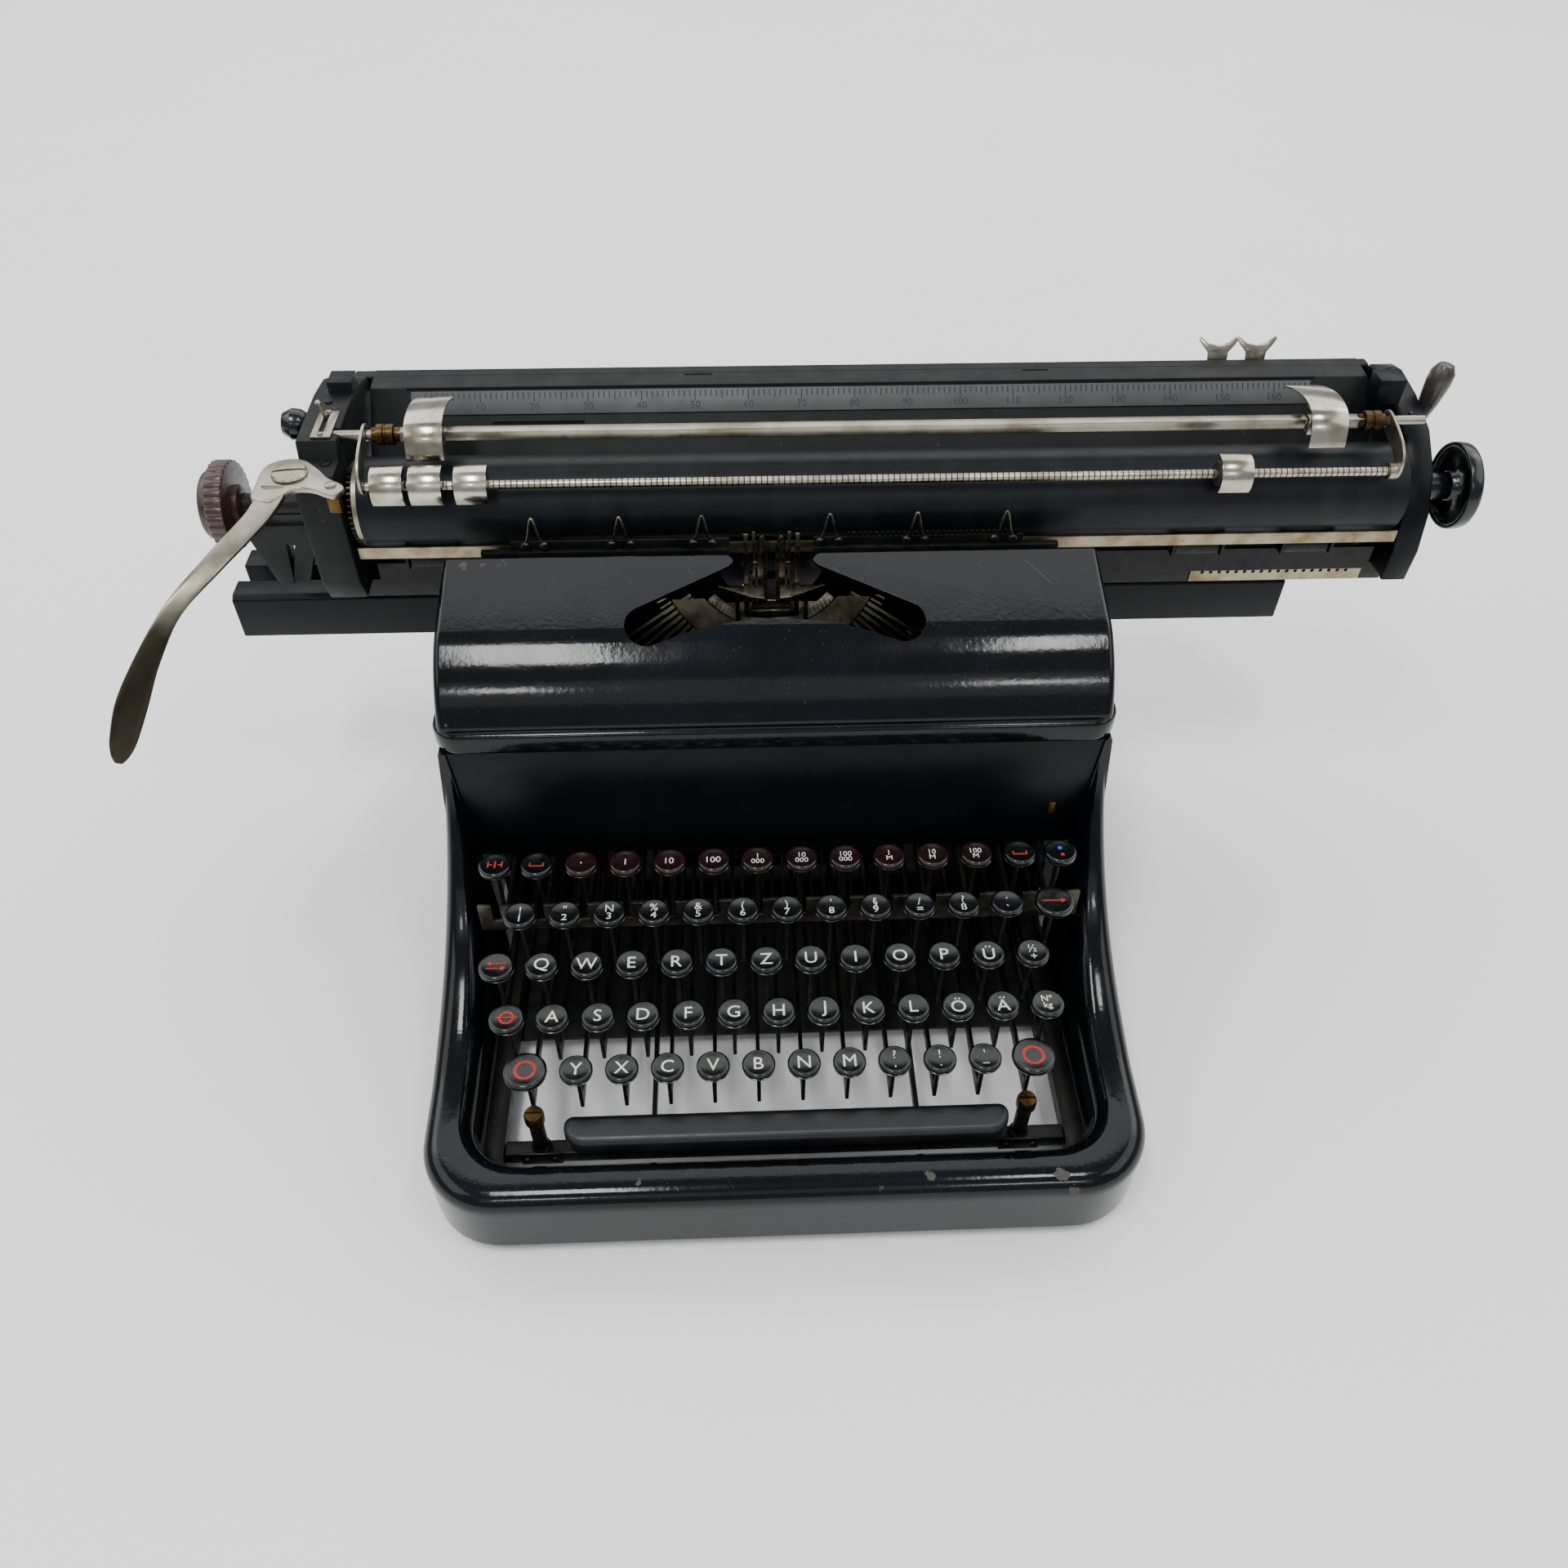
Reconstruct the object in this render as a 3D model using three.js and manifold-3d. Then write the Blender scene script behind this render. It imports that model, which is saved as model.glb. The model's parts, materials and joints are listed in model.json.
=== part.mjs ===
// A wide-carriage office typewriter: cast base, enamelled shell and hood, key rows on rear fulcrums,
// a shifting type basket, and a carriage with its platen, bail, paper table and line-space lever.
// Millimetres, +X right, +Y back, +Z up. The group is centred on its own box and stands on z = 0.
import * as THREE from "three";
import { mergeVertices } from "three/addons/utils/BufferGeometryUtils.js";
import Module from "manifold-3d";

const wasm = await Module();
wasm.setup();

// ---- driving dimensions -------------------------------------------------------------------------
const gap = 0.3; // clearance left between two pieces that seat on each other
const running = 0.6; // clearance round a shaft or in a slot that something moves through

const baseWidth = 308; // across the flared foot of the shell
const shellWidth = 290; // across the cheeks
const shellDepth = 346; // front wall to rear wall
const shellFloor = 8; // underside of the shell above the desk
const baseRimTop = 44; // top of the rolled rim round the keyboard
const rimBevel = 9; // radius of that rolled rim
const frontCorner = 33; // plan radius of the two front corners
const rearCorner = 14;
const wellHalf = 134; // half width of the keyboard well
const wellFront = 20; // front edge of the well
const wellCorner = 22;
const sheet = 2.4; // thickness of the side sheets
const lipHeight = 149.7; // top of the shell, where the hood sits
const cheekBack = 152; // where the cheek's curve meets the hood lip
const shellRearTop = 125.6; // top of the shell under the carriage beam
const panelY = 153; // dark panel between keyboard and hood
const panelFoot = 84;

const footRadius = 12;
const footInsetX = 126;
const footFrontY = 30;
const footRearY = 316;

const hoodWidth = 288;
const hoodBack = 225;
const hoodTop = 202;
const hoodWall = 2;
const lipOut = 3; // how far the hood's lip stands proud
const lipTop = 161;

const keyPitch = 19;
const keyRadius = 7;
const keyThick = 4;
const keyTilt = THREE.MathUtils.degToRad(4); // tops lean back a little
const rowFiveY = 47; // nearest row of keys
const rowFiveZ = 69.5;
const rowStepY = 18.5;
const rowStepZ = 11.2;
const fulcrumY = 226; // rear tube that every key lever turns on
const leverThick = 1.6;
const leverHigh = 6;
const leverLevel = 43; // height of the lowest row's levers
const levelStep = 8.5; // rows of levers are stacked this far apart
const tubeRadius = 2.8;

const beamLength = 518; // casing that the carriage runs on
const beamFront = 264;
const beamDepth = 40;
const beamFoot = 126;
const beamTop = 150;
const beamCentre = -2;

const platenRadius = 20.3;
const platenLength = 474.5;
const platenY = 265.3;
const platenZ = 201.7;
const platenLeft = -183.5; // left end of the platen with the carriage where it stands
const shaftRadius = 5;
const plateLeftIn = -189; // inner face of the left end housing
const plateLeftWide = 18;
const plateRightWide = 12.5;
const knobRadius = 20;
const carriageBack = 338;

const barY = 269; // square bar over the platen
const barZ = 234;
const barSize = 5;
const railY = 246.5; // graduated rod of the paper bail
const railZ = 222;
const railRadius = 2;

const pivotY = 232; // where a typebar turns
const pivotZ = 146;
const strikeZ = platenZ;
const barLength = 57;
const basketTilt = THREE.MathUtils.degToRad(40); // slope of the plane that holds the typebar pivots
const barCount = 38; // typebars left and right of the middle one
const fanAngle = THREE.MathUtils.degToRad(57);
const segmentThick = 8;

// ---- worked out from them -----------------------------------------------------------------------
const platenRight = platenLeft + platenLength;
const plateLeftOut = plateLeftIn - plateLeftWide;
const plateRightIn = platenRight + 2.5;
const plateRightOut = plateRightIn + plateRightWide;
const truckFoot = beamTop + 2;
const platenFront = platenY - platenRadius;
const rowY = (row) => rowFiveY + (5 - row) * rowStepY;
const rowZ = (row) => rowFiveZ + (5 - row) * rowStepZ;
const levelZ = (row) => leverLevel + (5 - row) * levelStep;

// ---- finishes -----------------------------------------------------------------------------------
const finish = (color, roughness, metalness) => new THREE.MeshStandardMaterial({ color, roughness, metalness });
const enamel = finish(0x0f1419, 0.22, 0.3);
const crackle = finish(0x2b2e30, 0.6, 0.3);
const blackSteel = finish(0x121314, 0.5, 0.6);
const nickel = finish(0xb9b3a6, 0.28, 1.0);
const steel = finish(0x77736a, 0.4, 1.0);
const brass = finish(0x8a7a55, 0.45, 1.0);
const rubber = finish(0x14191c, 0.75, 0.0);
const keyBlack = finish(0x12161a, 0.3, 0.0);
const bakelite = finish(0x3a2723, 0.45, 0.0);

// ---- helpers: three.js shapes turned into solids ------------------------------------------------
const model = new THREE.Group();

function solidFrom(geometry) {
  const flat = geometry.index ? geometry.toNonIndexed() : geometry.clone();
  flat.deleteAttribute("normal");
  flat.deleteAttribute("uv");
  const merged = mergeVertices(flat, 1e-3);
  const vertProperties = merged.attributes.position.array;
  const triVerts = new Uint32Array(merged.index.array);
  return new wasm.Manifold(new wasm.Mesh({ numProp: 3, vertProperties, triVerts }));
}

function add(name, solid, material) {
  const made = solid.getMesh();
  const geometry = new THREE.BufferGeometry();
  geometry.setAttribute("position", new THREE.BufferAttribute(new Float32Array(made.vertProperties), 3));
  geometry.setIndex(new THREE.BufferAttribute(new Uint32Array(made.triVerts), 1));
  geometry.computeVertexNormals();
  const mesh = new THREE.Mesh(geometry, material);
  mesh.name = name;
  model.add(mesh);
}

const joined = (solids) => solids.reduce((whole, piece) => whole.add(piece));

function outline(points) {
  return new THREE.Shape(points.map(([a, b]) => new THREE.Vector2(a, b)));
}

function placed(geometry, matrix) {
  return solidFrom(geometry.applyMatrix4(matrix));
}

// A shape drawn in X and Y, standing from z0 to z1.
function standing(shape, z0, z1, bevel = 0, steps = 2) {
  const options = { depth: z1 - z0 - 2 * bevel, bevelEnabled: bevel > 0, curveSegments: 8 };
  Object.assign(options, { bevelThickness: bevel, bevelSize: bevel, bevelOffset: -bevel, bevelSegments: steps });
  const geometry = new THREE.ExtrudeGeometry(shape, options);
  return placed(geometry, new THREE.Matrix4().makeTranslation(0, 0, z0 + bevel));
}

// A side view drawn in Y and Z, running from x0 to x1.
function across(shape, x0, x1, bevel = 0, bend = null) {
  const options = { depth: x1 - x0 - 2 * bevel, bevelEnabled: bevel > 0, curveSegments: 10 };
  Object.assign(options, { bevelThickness: bevel, bevelSize: bevel, bevelOffset: -bevel, bevelSegments: 2 });
  const geometry = new THREE.ExtrudeGeometry(shape, options);
  geometry.applyMatrix4(new THREE.Matrix4().set(0, 0, 1, x0 + bevel, 1, 0, 0, 0, 0, 1, 0, 0, 0, 0, 0, 1));
  if (bend) {
    const at = geometry.attributes.position;
    const point = new THREE.Vector3();
    for (let i = 0; i < at.count; i++) {
      point.fromBufferAttribute(at, i);
      bend(point);
      at.setXYZ(i, point.x, point.y, point.z);
    }
  }
  return solidFrom(geometry);
}

// A front view drawn in X and Z, running from y0 back to y1.
function deep(shape, y0, y1) {
  const geometry = new THREE.ExtrudeGeometry(shape, { depth: y1 - y0, bevelEnabled: false, curveSegments: 8 });
  const turn = new THREE.Matrix4().set(1, 0, 0, 0, 0, 0, -1, y1, 0, 1, 0, 0, 0, 0, 0, 1);
  return placed(geometry, turn);
}

function block(x0, x1, y0, y1, z0, z1) {
  const geometry = new THREE.BoxGeometry(x1 - x0, y1 - y0, z1 - z0);
  return placed(geometry, new THREE.Matrix4().makeTranslation((x0 + x1) / 2, (y0 + y1) / 2, (z0 + z1) / 2));
}

// A profile of [radius, distance] pairs turned about a line from base in the direction given.
function turned(profile, base, direction, sides = 24) {
  const points = profile.map(([r, along]) => new THREE.Vector2(r, along));
  const geometry = new THREE.LatheGeometry(points, sides);
  const spin = new THREE.Quaternion().setFromUnitVectors(
    new THREE.Vector3(0, 1, 0),
    new THREE.Vector3(...direction).normalize(),
  );
  const matrix = new THREE.Matrix4().compose(new THREE.Vector3(...base), spin, new THREE.Vector3(1, 1, 1));
  return placed(geometry, matrix);
}

function pin(radius, from, to, sides = 12) {
  const start = new THREE.Vector3(...from);
  const way = new THREE.Vector3(...to).sub(start);
  return turned([[0, 0], [radius, 0], [radius, way.length()], [0, way.length()]], from, way.toArray(), sides);
}

function roundedRect(x0, x1, y0, y1, frontRadius, backRadius) {
  const s = new THREE.Shape();
  s.moveTo(x0 + frontRadius, y0);
  s.lineTo(x1 - frontRadius, y0);
  s.absarc(x1 - frontRadius, y0 + frontRadius, frontRadius, -Math.PI / 2, 0);
  s.lineTo(x1, y1 - backRadius);
  s.absarc(x1 - backRadius, y1 - backRadius, backRadius, 0, Math.PI / 2);
  s.lineTo(x0 + backRadius, y1);
  s.absarc(x0 + backRadius, y1 - backRadius, backRadius, Math.PI / 2, Math.PI);
  s.lineTo(x0, y0 + frontRadius);
  s.absarc(x0 + frontRadius, y0 + frontRadius, frontRadius, Math.PI, Math.PI * 1.5);
  return s;
}

// ---- shell, base and feet -----------------------------------------------------------------------
// The cheeks lean out towards the desk: their outer faces by the whole flare, their inner ones by less.
function flare(point) {
  const lean = (lipHeight - point.z) / (lipHeight - baseRimTop);
  const depth = (Math.abs(point.x) - wellHalf) / (shellWidth / 2 - wellHalf);
  const spread = ((baseWidth - shellWidth) / 2) * Math.min(Math.max(lean, 0), 1);
  point.x += Math.sign(point.x) * spread * (0.5 + 0.5 * Math.min(Math.max(depth, 0), 1));
}
function bodyShell() {
  const plan = roundedRect(-baseWidth / 2, baseWidth / 2, 0, shellDepth, frontCorner, rearCorner);
  const rearInside = shellDepth - wellFront;
  plan.holes.push(roundedRect(-wellHalf, wellHalf, wellFront, rearInside, wellCorner, rearCorner));
  const rim = standing(plan, shellFloor - rimBevel, baseRimTop, rimBevel, 2);
  const floorCut = block(-baseWidth, baseWidth, -10, shellDepth + 10, shellFloor - rimBevel - 1, shellFloor);

  const side = new THREE.Shape();
  side.moveTo(32, baseRimTop - 12);
  side.lineTo(34, baseRimTop - 4);
  side.quadraticCurveTo(124, baseRimTop, cheekBack, lipHeight - 18);
  side.lineTo(cheekBack, lipHeight);
  side.lineTo(hoodBack, lipHeight);
  side.lineTo(hoodBack + 4, shellRearTop);
  side.lineTo(shellDepth - 6, shellRearTop);
  side.lineTo(shellDepth - 6, baseRimTop - 12);
  const cheekInner = wellHalf - 2;
  const cheeks = [-1, 1].map((s) => {
    const edges = [s * cheekInner, (s * shellWidth) / 2].sort((a, b) => a - b);
    return across(side, edges[0], edges[1], 3.5, flare);
  });
  const rearBay = block(
    -shellWidth / 2 + sheet, shellWidth / 2 - sheet, panelY + sheet, shellDepth - 18, baseRimTop + 1, hoodTop,
  );
  const panel = block(-cheekInner - 5, cheekInner + 5, panelY, panelY + sheet, panelFoot, lipHeight - 0.7);
  return joined([rim, ...cheeks]).subtract(floorCut).subtract(rearBay).add(panel);
}
add("body_shell", bodyShell(), enamel);

const backPlateY = shellDepth - 5.5;
add("back_cover", block(-128, 128, backPlateY, backPlateY + 2, baseRimTop + gap, shellRearTop), enamel);

const frameHalf = wellHalf - 1.5;
const frameRail = 9;
const framePostY = 237;
const postTop = 189;
function baseFrame() {
  const plan = roundedRect(-frameHalf, frameHalf, wellFront + 2, shellDepth - 22, wellCorner - 2, rearCorner);
  const inner = roundedRect(-frameHalf + frameRail, frameHalf - frameRail, wellFront + 9, shellDepth - 31, 6, 5);
  plan.holes.push(inner);
  const ring = standing(plan, shellFloor + 3, shellFloor + 11);
  const fulcrumBar = block(-frameHalf + 2, frameHalf - 2, fulcrumY + 8, fulcrumY + 20, shellFloor + 3, shellFloor + 11);
  const cheek = outline([
    [cheekBack + 8, shellFloor + 9], [cheekBack + 8, 60], [framePostY - 5, 110], [framePostY - 5, postTop],
    [framePostY + 4, postTop], [framePostY + 4, beamFoot - gap], [beamFront + beamDepth, beamFoot - gap],
    [shellDepth - 28, 60], [shellDepth - 28, shellFloor + 9],
  ]);
  const cheeks = [-1, 1].map((s) => {
    const edges = [s * (frameHalf - 5), s * (frameHalf - 1.5)].sort((a, b) => a - b);
    return across(cheek, edges[0], edges[1]);
  });
  return joined([ring, fulcrumBar, ...cheeks]);
}
add("base_frame", baseFrame(), blackSteel);

const feet = { front_left: [-1, footFrontY], front_right: [1, footFrontY], rear_left: [-1, footRearY], rear_right: [1, footRearY] };
for (const [place, [side, y]] of Object.entries(feet)) {
  const profile = [[0, 0], [footRadius - 2, 0], [footRadius, 2], [footRadius - 2, shellFloor - gap], [0, shellFloor - gap]];
  add("foot_" + place, turned(profile, [side * (baseWidth / 2 - 16), y, 0], [0, 0, 1], 20), rubber);
}

const panFront = 100;
add(
  "base_pan",
  block(-frameHalf + 4, frameHalf - 4, panFront, shellDepth - 27, shellFloor + 0.8, shellFloor + 2.6),
  blackSteel,
);

// Crossbar in front of the levers, with the two stop posts that stand on it.
const crossbarY = 35.5;
function frontCrossbar() {
  const bar = block(-frameHalf + frameRail + gap, frameHalf - frameRail - gap, crossbarY, crossbarY + 7, 11.5, 19);
  const posts = [-107, 103].map((x) => {
    const profile = [[0, 0], [3.2, 0], [3.2, 20], [2.4, 21], [2.4, 23], [4.3, 24], [4.3, 29], [3.4, 30.5], [0, 30.5]];
    return turned(profile, [x, crossbarY + 3.5, 18], [0, 0, 1], 14);
  });
  return joined([bar, ...posts]);
}
add("front_crossbar", frontCrossbar(), blackSteel);

// ---- hood ---------------------------------------------------------------------------------------
function hoodProfile(inset) {
  const s = new THREE.Shape();
  const front = cheekBack + 2 + inset;
  const back = hoodBack - inset;
  const foot = lipHeight + gap - (inset ? 5 : 0);
  s.moveTo(front, foot);
  s.lineTo(front, lipTop - inset);
  s.bezierCurveTo(front + 5, lipTop + 13 - inset, 170 + inset, 187 - inset, 184, 191.4 - inset);
  s.lineTo(back - 5, hoodTop - 0.8 - inset);
  s.lineTo(back - 1.5, hoodTop - 2 - inset);
  s.lineTo(back, hoodTop - 5 - inset);
  if (inset) {
    s.lineTo(back, hoodTop - 16);
    s.lineTo(back + 5, hoodTop - 16);
    s.lineTo(back + 5, foot);
  } else {
    s.lineTo(back, foot);
  }
  return s;
}
// Kidney opening over the type basket, open to the back edge through a narrow neck.
const neckHalf = 17;
const lobeX = 54.5;
const lobeY = 185.5;
const lobeRadius = 9.6;
const lobeTurn = Math.PI * 0.38;
function basketOpening() {
  const s = new THREE.Shape();
  const lowX = lobeX - lobeRadius * Math.cos(lobeTurn);
  s.moveTo(neckHalf + 6, hoodBack + 4);
  s.lineTo(neckHalf + 5, hoodBack - 3);
  s.quadraticCurveTo(neckHalf - 1, hoodBack - 7, neckHalf + 3, hoodBack - 11);
  s.absarc(lobeX, lobeY, lobeRadius, lobeTurn, lobeTurn - Math.PI, true);
  s.quadraticCurveTo(lobeX - 20, lobeY - 1, 0, lobeY + 1.5);
  s.quadraticCurveTo(20 - lobeX, lobeY - 1, -lowX, lobeY - lobeRadius * Math.sin(lobeTurn));
  s.absarc(-lobeX, lobeY, lobeRadius, Math.PI * 2 - lobeTurn, Math.PI - lobeTurn, true);
  s.lineTo(-neckHalf - 3, hoodBack - 11);
  s.quadraticCurveTo(1 - neckHalf, hoodBack - 7, -neckHalf - 5, hoodBack - 3);
  s.lineTo(-neckHalf - 6, hoodBack + 4);
  return s;
}
function topCover() {
  const skin = across(hoodProfile(0), -hoodWidth / 2, hoodWidth / 2, 5);
  const inside = across(hoodProfile(hoodWall), -hoodWidth / 2 + hoodWall, hoodWidth / 2 - hoodWall);
  const half = hoodWidth / 2;
  const lipPlan = roundedRect(-half - lipOut, half + lipOut, cheekBack - 1, hoodBack, 9, 4);
  const lip = standing(lipPlan, lipHeight + gap, lipTop, 1.5, 1);
  return skin.add(lip).subtract(inside).subtract(standing(basketOpening(), lipTop + 6, hoodTop + 10));
}
add("top_cover", topCover(), enamel);

// ---- keys ---------------------------------------------------------------------------------------
// Each row's keys stand on stems from flat levers that run back to a tube at the fulcrum.
const rows = {
  1: { first: -123.8, count: 14 },
  2: { first: -111.7, count: 12 },
  3: { first: -102.2, count: 12 },
  4: { first: -97.5, count: 12 },
  5: { first: -87.5, count: 10 },
};
function keyOn(row, x, radius = keyRadius) {
  const y = rowY(row);
  const z = rowZ(row);
  const cap = [[0, -keyThick], [radius - 0.8, -keyThick], [radius, -0.9], [radius - 0.9, 0], [0, 0]];
  const up = [0, Math.sin(keyTilt), Math.cos(keyTilt)];
  const stemBack = y + 1.5 + leverHigh;
  const level = levelZ(row);
  const lever = outline([
    [y - 1.5, level - leverHigh / 2], [fulcrumY, level - leverHigh / 2], [fulcrumY, level + leverHigh / 2],
    [stemBack, level + leverHigh / 2], [y + 1.5, level + leverHigh], [y + 1.2, z - keyThick + 1], [y - 1.2, z - keyThick + 1],
  ]);
  const half = leverThick / 2;
  return turned(cap, [x, y, z], up, 12).add(across(lever, x - half, x + half));
}
function keySet(row, xs, radius) {
  const tube = pin(tubeRadius, [xs[0] - 3, fulcrumY, levelZ(row)], [xs[xs.length - 1] + 3, fulcrumY, levelZ(row)], 8);
  return joined([tube, ...xs.map((x) => keyOn(row, x, radius))]);
}
const along = (row, from, to) => {
  const { first } = rows[row];
  return Array.from({ length: to - from }, (_, i) => first + keyPitch * (from + i));
};
add("tabulator_keys", keySet(1, along(1, 2, 12)), bakelite);
add("number_keys", keySet(2, along(2, 0, rows[2].count)), keyBlack);
add("upper_letter_keys", keySet(3, along(3, 0, rows[3].count)), keyBlack);
add("home_letter_keys", keySet(4, along(4, 0, rows[4].count)), keyBlack);
add("lower_letter_keys", keySet(5, along(5, 0, rows[5].count)), keyBlack);

const commandRadius = 7.4;
const shiftRadius = 9;
add("tab_set_key", keySet(1, [rows[1].first + 1.2]), keyBlack);
add("tab_key_left", keySet(1, [rows[1].first + keyPitch]), keyBlack);
add("tab_key_right", keySet(1, [rows[1].first + 12 * keyPitch]), keyBlack);
add("ribbon_colour_key", keySet(1, [rows[1].first + 13 * keyPitch - 1.2]), keyBlack);
add("backspace_key", keySet(2, [rows[2].first + 12 * keyPitch + 1.4], 8.4), keyBlack);
add("margin_release_key", keySet(3, [rows[3].first - keyPitch], commandRadius), keyBlack);
add("shift_lock_key", keySet(4, [rows[4].first - keyPitch], commandRadius), keyBlack);
add("shift_key_left", keySet(5, [rows[5].first - keyPitch - 2], shiftRadius), keyBlack);
add("shift_key_right", keySet(5, [rows[5].first + 10 * keyPitch + 1.4], shiftRadius), keyBlack);

const spaceHalf = 93.5;
const spaceZ = 43;
const barFront = wellFront + 2.3;
const spaceArmX = 57;
function spaceBar() {
  const plan = roundedRect(-spaceHalf, spaceHalf, barFront, barFront + 13.5, 9, 4);
  const bar = standing(plan, spaceZ, spaceZ + 9, 1.8, 1);
  const arm = outline([
    [barFront + 4, 30], [208, 30], [208, 12], [216, 12], [216, 36], [barFront + 9, 36], [barFront + 9, spaceZ + 1],
    [barFront + 4, spaceZ + 1],
  ]);
  const arms = [-1, 1].map((s) => across(arm, s * spaceArmX - 1, s * spaceArmX + 1));
  const tube = pin(2.4, [-spaceArmX - 3, 212, 14.6], [spaceArmX + 3, 212, 14.6], 8);
  return joined([bar, ...arms, tube]);
}
add("space_bar", spaceBar(), keyBlack);

// Steel comb behind the number row: one slot for each tabulator stem.
const combY = rowY(1) - 10.5;
function keyComb() {
  const plate = block(-wellHalf + 2.4, wellHalf - 2.4, combY, combY + 1.8, 82, 98);
  const slots = along(1, 0, 14).map((x) => block(x - 1.8, x + 1.8, combY - 1, combY + 3, 88, 100));
  return plate.subtract(joined(slots));
}
add("key_comb", keyComb(), steel);

// ---- type basket --------------------------------------------------------------------------------
// The pivots lie on an arc in a plane that slopes up to the back; every bar reaches the same point.
const arcRadius = (platenFront - 1 - pivotY) * Math.cos(basketTilt) + (strikeZ - pivotZ) * Math.sin(basketTilt);
const inPlane = new THREE.Matrix4().set(
  1, 0, 0, 0,
  0, Math.cos(basketTilt), -Math.sin(basketTilt), pivotY + arcRadius * Math.cos(basketTilt),
  0, Math.sin(basketTilt), Math.cos(basketTilt), pivotZ + arcRadius * Math.sin(basketTilt),
  0, 0, 0, 1,
);
function ringSector(inner, outer, half, top, thick, steps = 24) {
  const s = new THREE.Shape();
  s.absarc(0, 0, outer, -Math.PI / 2 - half, -Math.PI / 2 + half);
  s.absarc(0, 0, inner, -Math.PI / 2 + half, -Math.PI / 2 - half, true);
  const geometry = new THREE.ExtrudeGeometry(s, { depth: thick, bevelEnabled: false, curveSegments: steps });
  geometry.translate(0, 0, top - thick);
  return placed(geometry, inPlane);
}
add("type_segment", ringSector(arcRadius - 9, arcRadius - 4.2, fanAngle * 0.84, 1.5, segmentThick), steel);

// One bar: a thin blade with the type slug's block standing at its free end.
function typeBar(angle, from = arcRadius + 0.4, wide = 1.4) {
  const end = arcRadius + barLength - 2;
  const side = outline([[from, -1.3], [end, -1.3], [end, 3.7], [end - 6, 3.7], [end - 6, 1.3], [from, 1.3]]);
  const geometry = new THREE.ExtrudeGeometry(side, { depth: wide, bevelEnabled: false });
  const lay = new THREE.Matrix4().set(0, 0, -1, wide / 2, -1, 0, 0, 0, 0, 1, 0, 0, 0, 0, 0, 1);
  geometry.applyMatrix4(lay);
  return placed(geometry, inPlane.clone().multiply(new THREE.Matrix4().makeRotationZ(angle)));
}
function typeBars() {
  const step = (2 * fanAngle) / barCount;
  const angles = Array.from({ length: barCount / 2 }, (_, i) => (i + 1) * step);
  const ring = ringSector(arcRadius + 1, arcRadius + 5, fanAngle + step / 2, -0.9, 2.6, 16);
  return joined([ring, ...angles.flatMap((a) => [typeBar(a), typeBar(-a)])]);
}
add("typebars", typeBars(), steel);

function strikingBar() {
  const hub = pin(1.9, [-0.8, pivotY, pivotZ + 1.9], [0.8, pivotY, pivotZ + 1.9], 12);
  const lift = new THREE.Matrix4().makeTranslation(0, -1.9 * Math.sin(basketTilt), 1.9 * Math.cos(basketTilt));
  return hub.add(typeBar(0, arcRadius, 1.2).transform(lift.elements));
}
add("striking_typebar", strikingBar(), steel);

const guideY = 239;
function typeGuide() {
  const plate = outline([
    [-9, 157], [9, 157], [9, 192], [6.6, 200], [1.8, 193], [1.8, 160], [-1.8, 160], [-1.8, 193], [-6.6, 200], [-9, 192],
  ]);
  return deep(plate, guideY, guideY + 1.8);
}
add("type_guide", typeGuide(), steel);

function ribbonVibrator() {
  const prongs = outline([
    [-12.8, 154], [12.8, 154], [12.8, 200.5], [10.6, 200.5], [10.6, 157.5], [-10.6, 157.5], [-10.6, 200.5], [-12.8, 200.5],
  ]);
  return deep(prongs, guideY - 2, guideY - 0.6);
}
add("ribbon_vibrator", ribbonVibrator(), steel);

const spoolX = 104;
const spoolY = 189;
for (const [place, side] of [["left", -1], ["right", 1]]) {
  const profile = [[0, -22], [2.2, -22], [2.2, 0], [20, 0], [20, 1.2], [9, 1.2], [9, 10.8], [20, 10.8], [20, 12], [0, 12]];
  add("ribbon_spool_" + place, turned(profile, [side * spoolX, spoolY, 150], [0, 0, 1], 24), blackSteel);
}

// Fixed line scales in front of the platen, each with wire fingers shaped like an A.
const scaleY = 238.4;
function lineScale(xFrom, xTo, postX, fingers) {
  const rail = block(xFrom, xTo, scaleY, scaleY + 1.4, 190, 198);
  const foot = block(Math.min(postX, xFrom), Math.max(postX, xTo), scaleY - 2, scaleY + 1.4, postTop + gap, postTop + 4);
  const wires = fingers.map((x) => {
    const shape = outline([[x - 4, 197], [x - 2.6, 197], [x, 206.5], [x + 2.6, 197], [x + 4, 197], [x + 0.9, 210], [x - 0.9, 210]]);
    return deep(shape, scaleY, scaleY + 1.2);
  });
  return joined([rail, foot, ...wires]);
}
const scalePost = frameHalf - 2;
add("line_scale_left", lineScale(-117, -19, -scalePost, [-106, -67.5, -31]), blackSteel);
add("line_scale_right", lineScale(19, 114, scalePost, [26, 65, 105]), blackSteel);

// ---- carriage drive under the beam --------------------------------------------------------------
function railBeam() {
  const back = beamFront + beamDepth;
  const side = outline([
    [beamFront, beamFoot], [back, beamFoot], [back, beamTop], [beamFront + 3, beamTop], [beamFront, beamTop - 2],
  ]);
  const casing = across(side, beamCentre - beamLength / 2, beamCentre + beamLength / 2);
  const groove = block(-beamLength, beamLength, beamFront + 14, beamFront + 26, beamFoot + 6, beamTop + 1);
  return casing.subtract(groove);
}
add("carriage_rail_beam", railBeam(), enamel);

const drumRadius = 28;
const drumProfile = [
  [0, 0], [drumRadius + 1.5, 0], [drumRadius + 1.5, 1.5], [drumRadius, 1.5], [drumRadius, 10.5],
  [drumRadius + 1.5, 10.5], [drumRadius + 1.5, 12], [0, 12],
];
add("mainspring_drum", turned(drumProfile, [-88, 311, 88], [0, 1, 0], 28), steel);

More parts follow.
